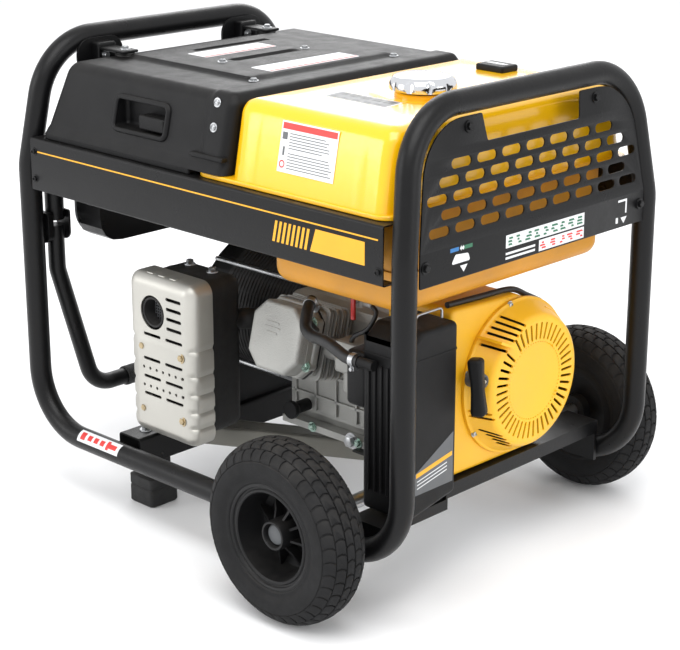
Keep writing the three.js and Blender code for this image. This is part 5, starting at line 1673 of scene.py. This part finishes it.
# %% Control box and panel
PANEL_FACE, BOX_Z0, BOX_TOP = -350, 378, 540.7
refinish("control_box", powder_black)
refinish("inverter_module", cast_alloy)
face = rounded([(-186, BOX_Z0, 40), (186, BOX_Z0, 40), (186, BOX_TOP), (-186, BOX_TOP)], 8)
piece("control_faceplate", prism("x", face, PANEL_FACE, -345.3), grey_moulded,
      stands_for=["control_panel"], bevel=1)
inner = rounded([(-178, BOX_Z0 + 8, 34), (178, BOX_Z0 + 8, 34), (178, BOX_TOP - 8, 3), (-178, BOX_TOP - 8, 3)], 8)
piece("control_film", prism("x", inner, PANEL_FACE - 0.2, PANEL_FACE), film_black, crease=20)
for i, (y, z) in enumerate(((-172, 534), (172, 534), (-160, 392), (160, 392))):
    piece(f"faceplate_screw_{i + 1}", screw((PANEL_FACE - 0.3, y, z), (-1, 0, 0), 3.6, 2.4, "button", 0.8), zinc_steel)
panel_marks = bmesh.new()
for i in range(11):
    angle = math.radians(-45 + 27 * i)
    middle = (-10 + 27 * math.cos(angle), 490 + 27 * math.sin(angle))
    tick = [(middle[0] + a * math.cos(angle) - b * math.sin(angle), middle[1] + a * math.sin(angle) + b * math.cos(angle))
            for a, b in ((-2.5, -0.7), (2.5, -0.7), (2.5, 0.7), (-2.5, 0.7))]
    panel_marks = merge(panel_marks, prism("x", tick, PANEL_FACE - 0.4, PANEL_FACE - 0.2))
for y0, y1, z0, z1 in ((-110, -86, 446, 448), (-98, -97, 440, 452), (-56, -50, 424.4, 425.6), (-151, -145, 424.4, 425.6)):
    panel_marks = merge(panel_marks, prism("x", [(y0, z0), (y1, z0), (y1, z1), (y0, z1)], PANEL_FACE - 0.4,
                                           PANEL_FACE - 0.2))
piece("panel_marks", panel_marks, film_white, crease=20)
border = prism("x", rounded(rectangle(-58, 72, 394, 412, 2), 3), PANEL_FACE - 0.4, PANEL_FACE - 0.2)
piece("panel_label", border, film_white, crease=20)

for name, z in (("lower", 428), ("upper", 496)):
    lid = soft_block(-356.2, -350.4, 94.2, 145.8, z - 25.8, z + 25.8, 2.4, 12, None, 3)
    hinge_rod = turned([(0, -142), (2.8, -142), (2.8, -98), (0, -98)], "y", (-353.3, 0, z + 26), 20)
    pull = soft_block(-356.3, -352, 112, 128, z - 25.9, z - 21, 1.2, 20, None, 2)
    piece(f"outlet_cover_{name}", merge(lid, hinge_rod, pull), moulded_black, f"lid_{name}",
          [f"outlet_lid_{name}"], crease=45)
    frame_plate = rounded(rectangle(90, 150, z - 30, z + 32, 5), 4)
    piece(f"outlet_frame_{name}", prism("x", frame_plate, PANEL_FACE - 0.25, PANEL_FACE - 0.02), moulded_black,
          crease=30)

for name, y, tint, slot in (("minus", -125, moulded_black, "black_plastic"), ("plus", -70, red_moulded, "red_plastic")):
    collar = [(9, 350.3), (19, 350.3), (19, 353), (17.4, 354.6), (15.6, 355.4), (15.6, 365.6), (14.4, 368), (10.4, 368.3),
              (9, 366.8)]
    collar = turned(collar, "x", sides=56, close=True)
    collar = move(collar, Matrix.Translation(mm(0, y, 425)) @ Matrix.Rotation(math.pi, 4, "Z"))
    piece(f"welding_socket_{name}", collar, tint, stands_for=[f"weld_socket_{name}"])
    key_ring = turned([(7.4, 350.4), (8.8, 350.4), (8.8, 363), (7.4, 363)], "x", sides=36, close=True)
    key_ring = move(key_ring, Matrix.Translation(mm(0, y, 425)) @ Matrix.Rotation(math.pi, 4, "Z"))
    piece(f"socket_liner_{name}", key_ring, brass_zinc)


def fluted(radius, depth, flutes, profile, sides=96):
    """A knob on the left end: profile gives (share of radius, distance out, flute share)."""
    mesh = bmesh.new()
    rings = []
    for share, out, flute in profile:
        ring = []
        for i in range(sides):
            a = 2 * math.pi * i / sides
            r = radius * share - depth * flute * max(0, math.cos(flutes * a))
            ring.append(mesh.verts.new(mm(-out, r * math.cos(a), r * math.sin(a))))
        rings.append(ring)
    for first, second in zip(rings, rings[1:]):
        for i in range(sides):
            mesh.faces.new((first[i], first[(i + 1) % sides], second[(i + 1) % sides], second[i]))
    mesh.faces.new(rings[0][::-1])
    mesh.faces.new(rings[-1])
    bmesh.ops.recalc_face_normals(mesh, faces=mesh.faces[:])
    return mesh


knob = fluted(18, 1.5, 12, [(1, 350.4, 0), (1, 352.5, 0), (0.86, 354, 0.4), (0.84, 364, 1), (0.8, 366.4, 0.6),
                            (0.66, 367.2, 0), (0.1, 367.2, 0)])
piece("current_dial", move(knob, Matrix.Translation(mm(0, -10, 490))), moulded_black, "knob",
      ["current_knob"], crease=50)
piece("dial_pointer", box((-367.3, -10.7, 497), (-367.1, -9.3, 503)), film_white, "knob", crease=20)
lock = turned([(0, 350.4), (9, 350.4), (9, 352.4), (7.6, 353.6), (0, 353.6)], "x", sides=40)
lock = move(lock, Matrix.Translation(mm(0, -130, 490)) @ Matrix.Rotation(math.pi, 4, "Z"))
bow = soft_block(-372.2, -353, -131.4, -128.6, 481, 499, 1.2, 8, None, 2)
piece("switch_key", merge(lock, bow), zinc_steel, "key", ["ignition_key"], crease=45)
button = turned([(0, 350.4), (7, 350.4), (7, 352), (5.6, 353), (5.6, 357.4), (4.8, 358.2), (0, 358.2)], "x", sides=36)
button = move(button, Matrix.Translation(mm(0, 40, 430)) @ Matrix.Rotation(math.pi, 4, "Z"))
piece("breaker_push_button", button, moulded_black, "breaker", ["breaker_button"])
print("control pieces on x =", PANEL_FACE)

# %% [markdown]
# ## Alternator, axle and small parts
#
# The alternator keeps its solids; stator laminations, copper and the cast end cover get their own finishes.
# The axle is a plain steel rod held by domed caps, and a blank strip of sign pictures sits on the bottom rail.

# %% Alternator, axle and small parts
for node, material in (("alternator_stator", muffler_black), ("alternator_rotor", copper_wound), ("flywheel", cast_alloy),
                       ("alternator_end_cover", moulded_black), ("crankshaft", zinc_steel),
                       ("starter_pulley", moulded_black)):
    refinish(node, material)
bands = bmesh.new()
for i in range(22):
    x = -164 + i * 6.6
    bands = merge(bands, turned([(104, x), (105.6, x + 0.6), (105.6, x + 3), (104, x + 3.6)], "x", (0, CRANK_Y, CRANK_Z),
                                64, close=True))
piece("stator_laminations", bands, muffler_black, crease=50)
for i in range(4):
    a = math.radians(45 + 90 * i)
    y, z = CRANK_Y + 108 * math.cos(a), CRANK_Z + 108 * math.sin(a)
    rod_mesh = turned([(0, -205), (3.4, -205), (3.4, -16), (0, -16)], "x", (0, y, z), 16)
    piece(f"stator_bolt_{i + 1}", rod_mesh, zinc_steel)
axle_mesh = turned([(0, -334), (9, -334), (10, -333), (10, 333), (9, 334), (0, 334)], "y", (230, 0, 125), 36)
piece("axle_bar", axle_mesh, zinc_steel, stands_for=["axle_rod"])

RAIL_Y, RAIL_Z = -248, 94


def rail_sticker(x0, x1, lift, low_turn, high_turn):
    """A strip of film wrapped round the near bottom rail, between two angles up from the near side."""
    mesh = bmesh.new()
    rows = []
    for k in range(9):
        a = math.radians(low_turn + (high_turn - low_turn) * k / 8)
        across, up = math.cos(a), math.sin(a)
        rows.append([[mesh.verts.new(mm(x, RAIL_Y - (TUBE + h) * across, RAIL_Z + (TUBE + h) * up))
                      for h in (lift, lift + 0.2)] for x in (x0, x1)])
    for first, second in zip(rows, rows[1:]):
        (a0, a1), (b0, b1) = first
        (c0, c1), (d0, d1) = second
        for corners in ((a1, b1, d1, c1), (a0, c0, d0, b0), (a0, a1, c1, c0), (b0, d0, d1, b1)):
            mesh.faces.new(corners)
    for (a0, a1), (b0, b1) in (rows[0], rows[-1]):
        mesh.faces.new((a0, b0, b1, a1))
    bmesh.ops.recalc_face_normals(mesh, faces=mesh.faces[:])
    return mesh


piece("rail_label", rail_sticker(-268, -176, 0.05, 10, 80), film_white, crease=40)
signs = rail_sticker(-262, -252, 0.27, 24, 66)
for x in (-246, -232, -218):
    signs = merge(signs, rail_sticker(x, x + 9, 0.27, 30, 60))
signs = merge(signs, rail_sticker(-200, -182, 0.27, 32, 58), rail_sticker(-204, -198, 0.27, 20, 70))
piece("rail_label_signs", signs, film_red, crease=40)
print("solids with a new finish: 9")
